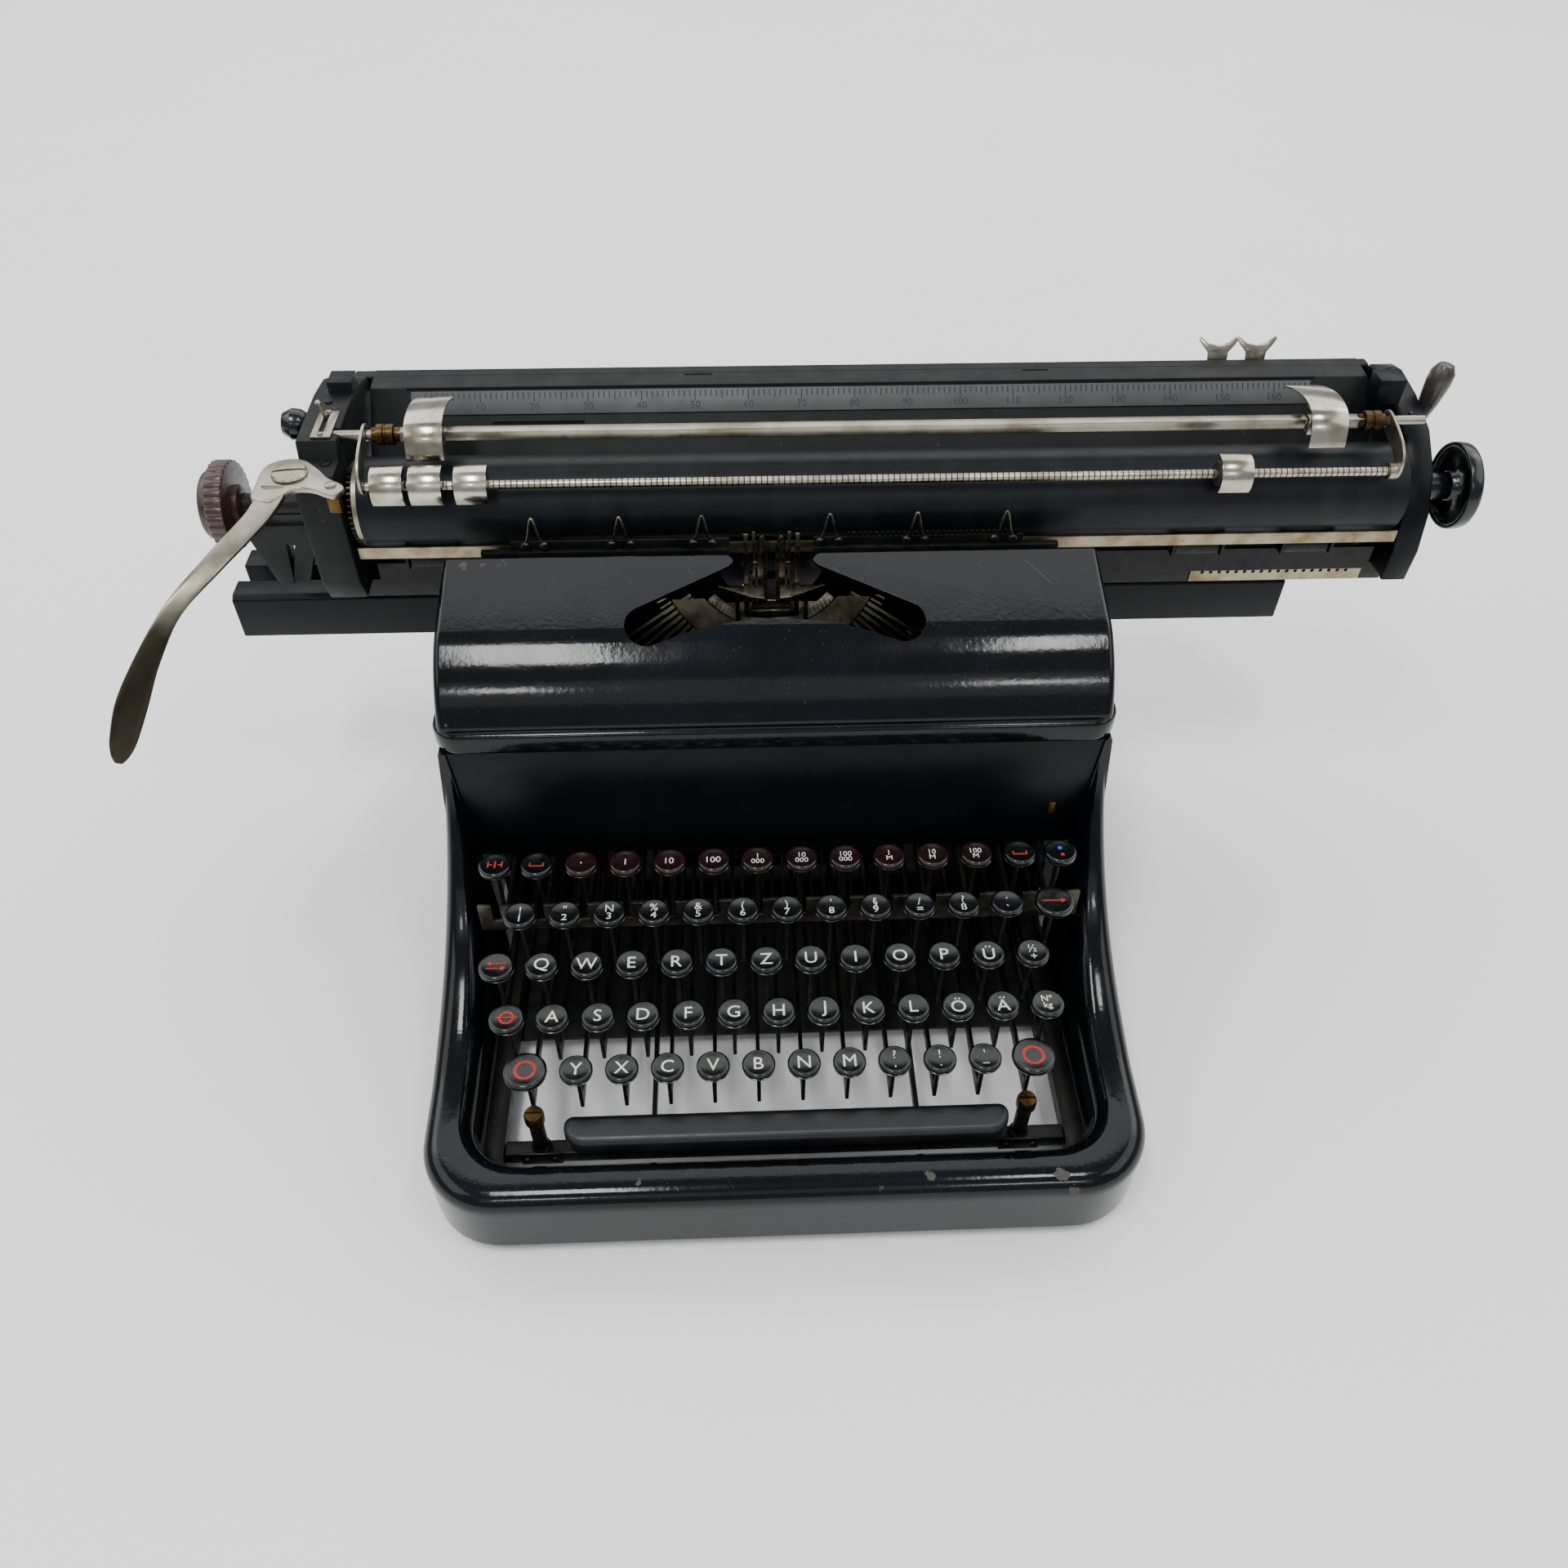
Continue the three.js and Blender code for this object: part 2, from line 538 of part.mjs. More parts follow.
const wheelRadius = 12.5;
const wheelZ = truckFoot + 5.4 - wheelRadius;
function escapementWheel() {
  const s = new THREE.Shape();
  const teeth = 20;
  for (let i = 0; i < teeth; i++) {
    const a = (i / teeth) * Math.PI * 2;
    s[i ? "lineTo" : "moveTo"](wheelRadius * Math.cos(a), wheelZ + wheelRadius * Math.sin(a));
    s.lineTo((wheelRadius - 2) * Math.cos(a + 0.08), wheelZ + (wheelRadius - 2) * Math.sin(a + 0.08));
  }
  const arbor = pin(3, [0, beamFront + beamDepth + 2, wheelZ], [0, beamFront + beamDepth + 14, wheelZ], 10);
  return deep(s, beamFront + beamDepth + 3, beamFront + beamDepth + 6).add(arbor);
}
add("escapement_wheel", escapementWheel(), brass);

const bellProfile = [[0, 0], [21, 0], [20.2, 5], [16, 11], [9, 15], [0, 16], [0, 14.6], [8, 13.7], [15, 10], [18.8, 4.8], [19.4, 1.4], [3, 1.4], [0, 1.4]];
function bell() {
  const cup = turned([[0, 16], [9, 15], [16, 11], [20.2, 5], [21, 0], [19.8, 0], [18.9, 4.8], [15, 10], [8, 13.7], [0, 14.6]].reverse(), [92, 312, 88], [0, 1, 0], 24);
  return cup.add(pin(2.2, [92, 306, 88], [92, 327, 88], 10));
}
add("bell", bell(), nickel);

// ---- carriage -----------------------------------------------------------------------------------
const truckEndLeft = plateLeftOut + 2;
const truckEndRight = plateRightOut - 4;
function carriageTruck() {
  const tray = outline([
    [beamFront - 2, truckFoot - 1], [beamFront, truckFoot - 1], [beamFront, truckFoot], [beamFront + 47, truckFoot + 6.5],
    [beamFront + 47, truckFoot + 9], [beamFront, truckFoot + 8.2], [beamFront - 2, truckFoot + 9],
  ]);
  const bar = block(truckEndLeft, truckEndRight, beamFront, beamFront + 36, truckFoot, truckFoot + 6);
  const apron = block(truckEndLeft, truckEndRight, beamFront - 2, beamFront, truckFoot - 1, truckFoot + 9);
  const tongue = block(truckEndLeft, truckEndRight, beamFront + 17, beamFront + 23, beamFoot + 12, truckFoot + 1);
  const rack = block(truckEndLeft, truckEndRight, beamFront + 35, beamFront + beamDepth + 8, truckFoot + 6, truckFoot + 9);
  const step = block(truckEndLeft, truckEndRight, beamFront + 30, beamFront + 38, truckFoot, truckFoot + 9);
  return joined([bar, apron, tongue, step, rack]);
}
add("carriage_truck", carriageTruck(), brass);

const plateFoot = truckFoot + 9 + gap;
const plateBack = carriageBack - 7;
const knobLeftX = plateLeftOut - 34.7;
const knobRightX = plateRightOut + 10.8;
const shaftHole = (x0, x1) => pin(shaftRadius + running, [x0 - 1, platenY, platenZ], [x1 + 1, platenY, platenZ], 16);
const barHole = (x0, x1) => pin(barSize / 2 + running, [x0, barY, barZ], [x1, barY, barZ], 10);
function leftPlate() {
  const s = outline([
    [248, plateFoot], [243, plateFoot + 12], [243, 222], [245, 228], [259, 228], [261, 236], [300, 237], [318, 235],
    [plateBack - 4, 231], [plateBack, 224], [plateBack, 200], [322, 176], [312, plateFoot],
  ]);
  const housing = across(s, plateLeftOut, plateLeftIn, 1.2);
  const bump = block(plateLeftIn - 11, plateLeftIn, 301, 312, 234, 242);
  const bracketX = knobLeftX + 2;
  const bracket = deep(
    outline([
      [plateLeftOut + 2, 180], [plateLeftOut + 2, 194], [bracketX, 194], [bracketX - 1, 190], [-233, plateFoot], [-226, plateFoot],
      [-224, 184],
    ]),
    259, 269,
  );
  const leg = deep(
    outline([[-219, plateFoot], [-226.4, plateFoot + 1], [-219, 188], [-209, 188]]),
    260, 268,
  );
  return joined([housing, bump, bracket, leg]).subtract(shaftHole(-240, plateLeftIn)).subtract(barHole(plateLeftIn - 5, plateLeftIn + 1));
}
add("carriage_plate_left", leftPlate(), crackle);

function rightPlate() {
  const s = outline([
    [247, plateFoot], [246, 178], [250, 197], [260, 213], [276, 225], [298, 231], [318, 233], [plateBack - 4, 231],
    [plateBack, 225], [plateBack, 200], [322, 176], [312, plateFoot],
  ]);
  const plate = across(s, plateRightIn, plateRightOut, 1.2);
  const bump = block(plateRightIn - 10, plateRightIn + 2, 292, 303, 229, 241);
  return plate.add(bump).subtract(shaftHole(plateRightIn, plateRightOut)).subtract(barHole(plateRightIn - 1, plateRightIn + 5));
}
add("carriage_plate_right", rightPlate(), crackle);

const tableLeft = plateLeftIn + 1.5;
const tableRight = plateRightIn - 1.5;
const tableClipX = 230;
function paperTable() {
  const back = carriageBack;
  const s = outline([
    [290, 196], [317.5, 223], [321, 228], [back, 228.5], [back, 182], [back - 2, 182], [back - 2, 226.5], [322, 226],
    [318.6, 221.6], [291.5, 194.5],
  ]);
  const ledge = block(plateLeftIn - 8, plateRightIn + 3, plateBack + gap, back, 221, 228.5);
  const clips = [-6.3, 6.3].map((x) => block(tableClipX + x - 2.7, tableClipX + x + 2.7, back - 1, back + 1.2, 212, 236));
  const wings = block(tableClipX - 18, tableClipX + 18, back - 0.5, back + 0.8, 235, 238.5);
  return joined([across(s, tableLeft, tableRight), ledge, ...clips, wings]);
}
add("paper_table", paperTable(), crackle);

add("front_strip", block(tableLeft, tableRight, platenFront + 1.1, platenFront + 2.3, 184, 190), brass);

// The platen's core is one piece with its shaft; the knobs clamp on the shaft's two ends.
const platenProfile = [
  [0, knobLeftX], [shaftRadius, knobLeftX], [shaftRadius, platenLeft - 4.5], [17, platenLeft - 4.5], [17, platenLeft - 1.5],
  [19.2, platenLeft - 1.5], [19.2, platenLeft], [platenRadius, platenLeft], [platenRadius, platenRight],
  [17, platenRight], [17, platenRight + 0.8], [shaftRadius, platenRight + 0.8], [shaftRadius, knobRightX], [0, knobRightX],
];
add("platen", turned(platenProfile, [0, platenY, platenZ], [1, 0, 0], 32), rubber);

const leftKnob = [
  [0, -13.8], [knobRadius - 5.2, -13.8], [knobRadius - 4.4, -12.8], [knobRadius - 4.4, -8.6], [knobRadius - 1.3, -8.3],
  [knobRadius, -7], [knobRadius, -1.5], [knobRadius - 1.3, -gap], [0, -gap],
];
add("platen_knob_left", turned(leftKnob, [knobLeftX, platenY, platenZ], [1, 0, 0], 28), bakelite);
const rightKnob = [
  [0, gap], [6.4, gap], [7, 2.4], [11, 5.8], [knobRadius - 2.6, 6.3], [knobRadius - 2.3, 2.2], [knobRadius, 2.2],
  [knobRadius, 7.4], [knobRadius - 1.2, 9], [0, 9],
];
add("platen_knob_right", turned(rightKnob, [knobRightX, platenY, platenZ], [1, 0, 0], 28), keyBlack);

const feedRadius = 7;
const feedZ = platenZ - platenRadius - feedRadius - gap;
add("feed_roller", pin(feedRadius, [tableLeft + 12, platenY, feedZ], [tableRight - 12, platenY, feedZ], 16), rubber);

// Square bar over the platen, round at its ends, with a collar inside each end plate.
function upperBar() {
  const half = barSize / 2;
  const bar = block(-165, 272, barY - half, barY + half, barZ - half, barZ + half);
  const ends = pin(barSize / 2 - 0.3, [plateLeftIn - 3, barY, barZ], [plateRightIn + 3, barY, barZ], 10);
  const collars = [[-174, -163], [268, 279]].map(([a, b]) => pin(4.6, [a, barY, barZ], [b, barY, barZ], 16));
  return joined([ends, bar, ...collars]);
}
add("upper_bar", upperBar(), nickel);

// Bent sheet that rides on the square bar and holds the paper's edge down.
const guideWide = 16.5;
function paperGuide(x) {
  const s = outline([
    [299, 237], [280, 243.5], [266, 243], [258.5, 237.5], [255.5, 228], [257, 228], [260, 236.6], [264.9, 240.4],
    [264.9, 229.5], [273.1, 229.5], [273.1, 241.2], [280, 241.8], [298.5, 235.4],
  ]);
  const slot = barSize / 2 + gap;
  const hole = block(x - guideWide, x + guideWide, barY - slot, barY + slot, barZ - slot, barZ + slot);
  return across(s, x - guideWide / 2, x + guideWide / 2).subtract(hole);
}
const guideLeftX = -151;
const guideRightX = 249.5;
add("paper_guide_left", paperGuide(guideLeftX), nickel);
add("paper_guide_right", paperGuide(guideRightX), nickel);

// Paper bail: a graduated rod between two arms that turn on the bar's round ends.
const armLeft = plateLeftIn + 1.2;
const armRight = platenRight + 1.1;
function paperBail() {
  const arm = outline([
    [barY + 4.5, barZ], [barY + 3, barZ + 4], [barY - 3, barZ + 5], [railY + 1, railZ + 5], [railY - 3, railZ + 1], [railY - 3, railZ - 6],
    [railY, railZ - 8], [railY + 2.5, railZ - 3], [barY - 5, barZ - 6], [barY + 3, barZ - 4],
  ]);
  const hole = pin(barSize / 2 + 0.4, [armLeft - 2, barY, barZ], [armRight + 4, barY, barZ], 12);
  const arms = [across(arm, armLeft, armLeft + 1.4), across(arm, armRight, armRight + 1.2)];
  const rod = pin(railRadius, [armLeft + 0.7, railY, railZ], [armRight + 0.6, railY, railZ], 10);
  return joined([...arms]).subtract(hole).add(rod);
}
add("paper_bail", paperBail(), nickel);

const rollerWide = 14;
const shieldRadius = 8.6;
function bailRoller(x) {
  const half = rollerWide / 2;
  const bore = railRadius + gap;
  const hub = [[bore, -half], [5.4, -half], [5.4, half], [bore, half], [bore, -half]];
  const roller = turned(hub, [x, railY, railZ], [1, 0, 0], 16);
  const s = new THREE.Shape();
  s.absarc(railY, railZ, shieldRadius, Math.PI * 0.4, Math.PI * 1.12);
  s.absarc(railY, railZ, shieldRadius - 1.2, Math.PI * 1.12, Math.PI * 0.4, true);
  const shield = across(s, x - half, x + half);
  const reach = railY - shieldRadius + 0.6;
  const cheek = outline([[reach, railZ + 2], [reach, railZ - 2], [railY - 4.6, railZ - 2], [railY - 4.6, railZ + 2]]);
  return joined([roller, shield, across(cheek, x + half - 1.5, x + half)]);
}
const rollers = [-166, -149.5, -130, 205];
rollers.forEach((x, i) => add("bail_roller_" + (i + 1), bailRoller(x), nickel));

// Line-space lever: a flat head on its pivot, and a blade that drops over the hood to a paddle.
const leverPivotX = plateLeftOut + plateLeftWide / 2 - 8;
const leverPivotY = 243;
const leverZ = 229;
function lineSpaceLever() {
  const head = new THREE.Shape();
  head.moveTo(leverPivotX - 12, leverPivotY - 4);
  head.quadraticCurveTo(leverPivotX - 13, leverPivotY + 10, leverPivotX, leverPivotY + 11);
  head.quadraticCurveTo(leverPivotX + 9, leverPivotY + 9, leverPivotX + 15, leverPivotY - 3);
  head.lineTo(leverPivotX + 24, leverPivotY - 9);
  head.lineTo(leverPivotX + 25, leverPivotY - 15);
  head.lineTo(leverPivotX + 21, leverPivotY - 18);
  head.quadraticCurveTo(leverPivotX + 10, leverPivotY - 8, leverPivotX - 2, leverPivotY - 14);
  head.lineTo(leverPivotX - 12, leverPivotY - 18);
  const plate = standing(head, leverZ, leverZ + 2.8);
  const tab = block(leverPivotX + 18, leverPivotX + 24, leverPivotY - 17, leverPivotY - 13, leverZ - 7, leverZ + 1);
  const way = [
    [-4, -10, 230.5], [-7, -28, 229], [-20, -54, 224], [-33, -73, 216], [-42.5, -91, 205], [-48.5, -104, 193],
    [-53, -111, 182], [-57, -114.5, 173],
  ];
  const path = new THREE.CatmullRomCurve3(way.map(([x, y, z]) => new THREE.Vector3(leverPivotX + x, leverPivotY + y, z)));
  const blade = new THREE.ExtrudeGeometry(outline([[-1.5, -6], [1.5, -6], [1.5, 6], [-1.5, 6]]), { steps: 24, extrudePath: path });
  const screw = pin(2.6, [leverPivotX, leverPivotY, leverZ - 0.5], [leverPivotX, leverPivotY, leverZ + 5.2], 14);
  return joined([plate, tab, solidFrom(blade), screw]);
}
add("line_space_lever", lineSpaceLever(), nickel);

const selectorX = plateLeftOut + 10;
add("line_space_selector", block(selectorX - 1.2, selectorX + 1.2, 277, 281, 238.2, 245), nickel);

// Carriage release paddle on the outer face of the left housing.
function carriageRelease() {
  const outer = plateLeftOut - gap;
  const arm = across(outline([[296, 206], [304, 206], [304, 214], [294, 228], [288, 224]]), outer - 2.5, outer);
  const paddle = turned([[0, 0], [4.5, 0], [7, 4], [7.2, 8], [5, 12], [0, 13]], [outer - 1, 290, 227], [-1, 0, 0.1], 16);
  return arm.add(paddle);
}
add("carriage_release_lever", carriageRelease(), keyBlack);

function paperRelease() {
  const inner = plateRightOut + gap;
  const arm = across(outline([[296, 200], [304, 200], [304, 208], [301, 224], [296, 224]]), inner, inner + 2.2);
  const ear = block(inner + 1, inner + 8, 296, 301.5, 214, 221);
  const profile = [[0, 0], [3, 0], [4.6, 7], [5.8, 17], [5.6, 22], [3.6, 25.5], [0, 26.5]];
  const grip = turned(profile, [inner + 6.2, 298.5, 219.5], [0.12, 0.03, 1], 16);
  return joined([arm, ear, grip]);
}
add("paper_release_lever", paperRelease(), bakelite);

// Stand the machine on z = 0 with the middle of its box over the origin.
const box = new THREE.Box3().setFromObject(model);
const middle = box.getCenter(new THREE.Vector3());
model.position.set(-middle.x, -middle.y, -box.min.z);

export default model;
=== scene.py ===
import json
import math

import bmesh
import bpy
from mathutils import Matrix, Vector


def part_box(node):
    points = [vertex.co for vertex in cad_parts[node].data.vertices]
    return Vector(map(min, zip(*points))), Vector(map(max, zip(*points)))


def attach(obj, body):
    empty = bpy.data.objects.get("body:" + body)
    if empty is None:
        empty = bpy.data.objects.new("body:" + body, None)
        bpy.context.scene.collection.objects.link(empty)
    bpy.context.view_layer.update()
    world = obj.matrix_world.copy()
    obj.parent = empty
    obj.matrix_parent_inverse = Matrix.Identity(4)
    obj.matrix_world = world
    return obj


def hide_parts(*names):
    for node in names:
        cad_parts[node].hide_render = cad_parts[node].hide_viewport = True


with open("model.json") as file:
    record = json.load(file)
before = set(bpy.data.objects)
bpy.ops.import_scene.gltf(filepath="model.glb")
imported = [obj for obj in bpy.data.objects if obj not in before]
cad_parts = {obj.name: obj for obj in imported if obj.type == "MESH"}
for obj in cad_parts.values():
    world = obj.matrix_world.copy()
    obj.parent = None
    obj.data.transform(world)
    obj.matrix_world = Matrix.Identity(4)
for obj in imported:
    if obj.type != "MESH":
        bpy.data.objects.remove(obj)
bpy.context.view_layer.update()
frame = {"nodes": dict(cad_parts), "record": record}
nodes = frame["nodes"]
print("frame loaded:", len(nodes), "nodes")

# Shapes are drawn in millimetres from the middle of the shell's front edge, then set in the frame.
mm = 0.001
characterPitch = 2.54  # millimetres from one typed character to the next
shellLow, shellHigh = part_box("body_shell")
home = Vector(((shellLow.x + shellHigh.x) / 2, shellLow.y, 0))
toFrame = Matrix.Translation(home) @ Matrix.Scale(mm, 4)
fromFrame = toFrame.inverted()


def boxOf(node):  # lowest and highest corner of a CAD node in those millimetres
    low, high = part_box(node)
    return fromFrame @ low, fromFrame @ high


# ---- camera, floor and lights ----

view = {"place": (-15.57, -239.62, 531.54), "down": 45.864, "right": 2.676, "roll": -0.601, "lens": 29.264}


def makeCamera():
    camera = bpy.data.cameras.new("camera")
    camera.lens = view["lens"]
    camera.sensor_width = 36
    camera.clip_start = 0.02
    camera.clip_end = 20
    holder = bpy.data.objects.new("camera", camera)
    down, side, roll = (math.radians(view[k]) for k in ("down", "right", "roll"))
    ahead = Vector((math.sin(side) * math.cos(down), math.cos(side) * math.cos(down), -math.sin(down)))
    across = Vector((math.cos(side), -math.sin(side), 0))
    under = ahead.cross(across)
    right = across * math.cos(roll) + under * math.sin(roll)
    up = across * math.sin(roll) - under * math.cos(roll)
    turn = Matrix((right, up, -ahead)).transposed().to_4x4()
    holder.matrix_world = Matrix.Translation(toFrame @ Vector(view["place"])) @ turn
    bpy.context.collection.objects.link(holder)
    bpy.context.scene.camera = holder


makeCamera()


# ---- materials ----

def linear(hexColour):  # an sRGB hex colour as the linear one that a shader works in
    parts = [int(hexColour[i:i + 2], 16) / 255 for i in (1, 3, 5)]
    return [p / 12.92 if p <= 0.04045 else ((p + 0.055) / 1.055) ** 2.4 for p in parts] + [1.0]


def addNode(tree, kind, settings=None, links=None):  # settings name a property or a socket of the node
    node = tree.nodes.new(kind)
    for key, value in (settings or {}).items():
        if isinstance(key, str) and hasattr(node, key):
            setattr(node, key, value)
        else:
            node.inputs[key].default_value = value
    for key, source in (links or {}).items():
        tree.links.new(source, node.inputs[key])
    return node


def ramp(tree, source, low, high, lowValue=0.0, highValue=1.0):
    limits = {"From Min": low, "From Max": high, "To Min": lowValue, "To Max": highValue}
    return addNode(tree, "ShaderNodeMapRange", limits, {"Value": source}).outputs["Result"]


def blendColour(tree, share, first, second):  # first and second are hex colours or sockets
    node = addNode(tree, "ShaderNodeMix", {"data_type": "RGBA"}, {0: share})
    for socket, value in ((6, first), (7, second)):
        if isinstance(value, str):
            node.inputs[socket].default_value = linear(value)
        else:
            tree.links.new(value, node.inputs[socket])
    return node.outputs[2]


def noise(tree, where, size, detail=3.0, stretch=None):  # size is the pattern's step in millimetres
    if stretch:
        where = addNode(tree, "ShaderNodeMapping", {"Scale": stretch}, {"Vector": where}).outputs[0]
    settings = {"Scale": 1 / (size * mm), "Detail": detail, "Roughness": 0.55}
    return addNode(tree, "ShaderNodeTexNoise", settings, {"Vector": where}).outputs["Fac"]


def startMaterial(name, settings):
    material = bpy.data.materials.new(name)
    material.use_nodes = True
    tree = material.node_tree
    shader = tree.nodes["Principled BSDF"]
    for key, value in settings.items():
        shader.inputs[key].default_value = linear(value) if isinstance(value, str) else value
    where = addNode(tree, "ShaderNodeTexCoord").outputs["Object"]
    return material, tree, shader, where


def bump(tree, shader, height, distance, strength=1.0):  # distance in millimetres
    settings = {"Distance": distance * mm, "Strength": strength}
    node = addNode(tree, "ShaderNodeBump", settings, {"Height": height})
    tree.links.new(node.outputs["Normal"], shader.inputs["Normal"])


def finish(name, look):
    # One worn surface: a colour that drifts to a second one in blotches, uneven polish, and a fine relief.
    plain = {"Metallic": look.get("metallic", 0.0), "Roughness": look["rough"][1]}
    if not look.get("metallic"):
        plain["IOR"] = look.get("ior", 1.5)
    if "coat" in look:
        plain.update({"Coat Weight": look["coat"], "Coat Roughness": look.get("coatRough", 0.06)})
    material, tree, shader, where = startMaterial(name, plain)
    blotch = noise(tree, where, look["blotch"], 4.0, look.get("stretch"))
    share = ramp(tree, blotch, *look.get("spread", (0.42, 0.68)))
    colour = blendColour(tree, share, look["colour"], look["worn"])
    polish = noise(tree, where, look["blotch"] * 0.37, 5.0)
    tree.links.new(ramp(tree, polish, 0.3, 0.72, *look["rough"]), shader.inputs["Roughness"])
    if "dirt" in look:  # dark or pale specks
        speck = noise(tree, where, look["dirt"][1], 2.0)
        colour = blendColour(tree, ramp(tree, speck, *look["dirt"][2]), colour, look["dirt"][0])
    if "fade" in look:  # from one colour to another along the machine's depth, limits in millimetres
        # Painted shade: the second colour darkens the surface along the machine's depth.
        shadow, begin, full = look["fade"]
        depth = addNode(tree, "ShaderNodeSeparateXYZ", None, {0: where}).outputs[1]
        along = [(toFrame @ Vector((0, y, 0))).y for y in (begin, full)]
        colour = blendColour(tree, ramp(tree, depth, *along), colour, shadow)
    tree.links.new(colour, shader.inputs["Base Color"])
    grain = noise(tree, where, look["grain"][0], 3.0, look.get("brushed"))
    bump(tree, shader, grain, look["grain"][1])
    return material


def enamelMaterial(name, look):
    # Black stoving enamel, sprayed and baked: deep and glossy over a blue-black ground, with a faint
    # orange peel, hair scratches, and chips down to grey primer along the parts that get knocked.
    material, tree, shader, where = startMaterial(name, {"IOR": look["ior"]})
    haze = noise(tree, where, 46, 4.0)
    colour = blendColour(tree, ramp(tree, haze, 0.4, 0.7), look["colour"], look["worn"])
    rub = noise(tree, where, 15, 6.0)
    rough = ramp(tree, rub, 0.35, 0.75, look["rough"][0], look["rough"][1])
    scratchSum = None
    for turn, size in ((0.5, 9.0), (-0.9, 13.0), (1.9, 11.0)):  # thin lines, each family in its own direction
        aimed = addNode(tree, "ShaderNodeMapping",
                        {"Rotation": (0.3, 0.2, turn), "Scale": (1, 1 / 50, 1 / 50),
                         "vector_type": "TEXTURE"}, {"Vector": where})
        lines = noise(tree, aimed.outputs[0], size * 2, 1.0)
        thin = ramp(tree, lines, 0.77, 0.79)
        scratchSum = thin if scratchSum is None else addNode(
            tree, "ShaderNodeMath", {"operation": "MAXIMUM"}, {0: scratchSum, 1: thin}).outputs[0]
    fade = addNode(tree, "ShaderNodeMath", {"operation": "MULTIPLY", 1: look["scratch"]},
                   {0: scratchSum}).outputs[0]
    colour = blendColour(tree, fade, colour, "#8d949a")
    edge = noise(tree, where, 2.6, 4.0)
    chips = None
    for x, y, z, size in look["chips"]:
        centre = toFrame @ Vector((x, y, z))
        away = addNode(tree, "ShaderNodeVectorMath", {"operation": "DISTANCE", 1: centre},
                       {0: where}).outputs["Value"]
        ragged = addNode(tree, "ShaderNodeMath", {"operation": "MULTIPLY_ADD", 1: 5.5 * mm, 2: -2.4 * mm},
                         {0: edge})
        total = addNode(tree, "ShaderNodeMath", {"operation": "ADD"},
                        {0: away, 1: ragged.outputs[0]}).outputs[0]
        near = ramp(tree, total, size * mm, (size - 0.35) * mm)
        chips = near if chips is None else addNode(
            tree, "ShaderNodeMath", {"operation": "MAXIMUM"}, {0: chips, 1: near}).outputs[0]
    if chips is not None:
        bare = blendColour(tree, noise(tree, where, 1.4, 2.0), "#2a2c2c", "#4f4c46")
        colour = blendColour(tree, chips, colour, bare)
        rough = addNode(tree, "ShaderNodeMix", {3: 0.6}, {0: chips, 2: rough}).outputs[0]
    tree.links.new(colour, shader.inputs["Base Color"])
    tree.links.new(rough, shader.inputs["Roughness"])
    bump(tree, shader, noise(tree, where, 2.2, 2.0), 0.035)
    return material


chipPlaces = [
    (112, 6, 44, 3.4), (117, 0.5, 39, 2.6), (58, 7, 44, 2.6), (37, 2, 43, 1.9), (76, 5, 44, 1.6),
    (-62, 8, 44, 1.5),
    (-149, 96, 74, 1.7), (-143, 118, 97, 1.2), (-134, 217, 201, 2.2), (-126, 217, 201, 1.6),
    (-119, 217, 201, 1.3),
    (-140, 156, 163, 1.2), (12, 158, 170, 0.9), (147, 60, 52, 1.2),
]
enamelBlack = enamelMaterial("enamelStoved",
                             {"colour": "#04070a", "worn": "#080d14", "rough": (0.09, 0.16),
                              "scratch": 0.25, "ior": 1.35, "chips": chipPlaces})
enamelPlain = enamelMaterial("enamelStovedPlain",
                             {"colour": "#04070a", "worn": "#080c0e", "rough": (0.3, 0.42),
                              "scratch": 0.05, "ior": 1.24, "chips": []})
# Black wrinkle-free machine paint, brushed on: almost matte, charcoal where light falls on it.
paintMatte = finish("paintMatteCharcoal", {
    "colour": "#0c0e0f", "worn": "#141615", "rough": (0.42, 0.58), "blotch": 30, "grain": (0.5, 0.03),
    "ior": 1.3,
    "dirt": ("#4a463f", 3.0, (0.72, 0.8))})
# Japanned steel: thin black lacquer over pressed steel, brown where the lacquer has worn through.
steelJapanned = finish("steelJapanned", {
    "colour": "#0b0c0d", "worn": "#191816", "rough": (0.3, 0.55), "blotch": 14, "grain": (0.7, 0.03),
    "ior": 1.32,
    "dirt": ("#3b3027", 2.4, (0.68, 0.8))})
# Nickel plate on pressed steel: warm grey mirror, clouded and yellowed by handling, with small rust pits.
nickelPlated = finish("nickelPlated", {
    "colour": "#c3beb1", "worn": "#9d9584", "rough": (0.14, 0.26), "blotch": 13, "metallic": 1.0,
    "grain": (3.0, 0.006), "dirt": ("#6a5a42", 1.1, (0.74, 0.82))})
# The same plate on the hand lever, rubbed dull and brown by use.
nickelRubbed = finish("nickelRubbed", {
    "colour": "#aaa597", "worn": "#81796a", "rough": (0.26, 0.4), "blotch": 22, "metallic": 1.0,
    "grain": (2.4, 0.008), "dirt": ("#57493a", 1.2, (0.72, 0.82))})
# The lever's blade: the same plate, with painted shade turning it dark olive towards its lower front end.
nickelShadedEnd = finish("nickelShadedEnd", {
    "colour": "#9d978a", "worn": "#6f685a", "rough": (0.28, 0.42), "blotch": 20, "metallic": 1.0,
    "grain": (2.4, 0.008), "fade": ("#39352c", 186, 160)})
# Brass strip under worn nickel: pale straw.
brassPale = finish("brassPlated", {
    "colour": "#a1977f", "worn": "#75694f", "rough": (0.3, 0.46), "blotch": 12, "metallic": 1.0,
    "grain": (2.0, 0.008), "dirt": ("#4a3d28", 1.6, (0.68, 0.8))})
# Bare machined steel under old oil: dark, dull and brownish.
steelOiled = finish("steelOiled", {
    "colour": "#4c4941", "worn": "#2e2a24", "rough": (0.3, 0.5), "blotch": 7, "metallic": 1.0,
    "grain": (0.5, 0.02), "dirt": ("#6b4a2c", 1.8, (0.66, 0.8))})
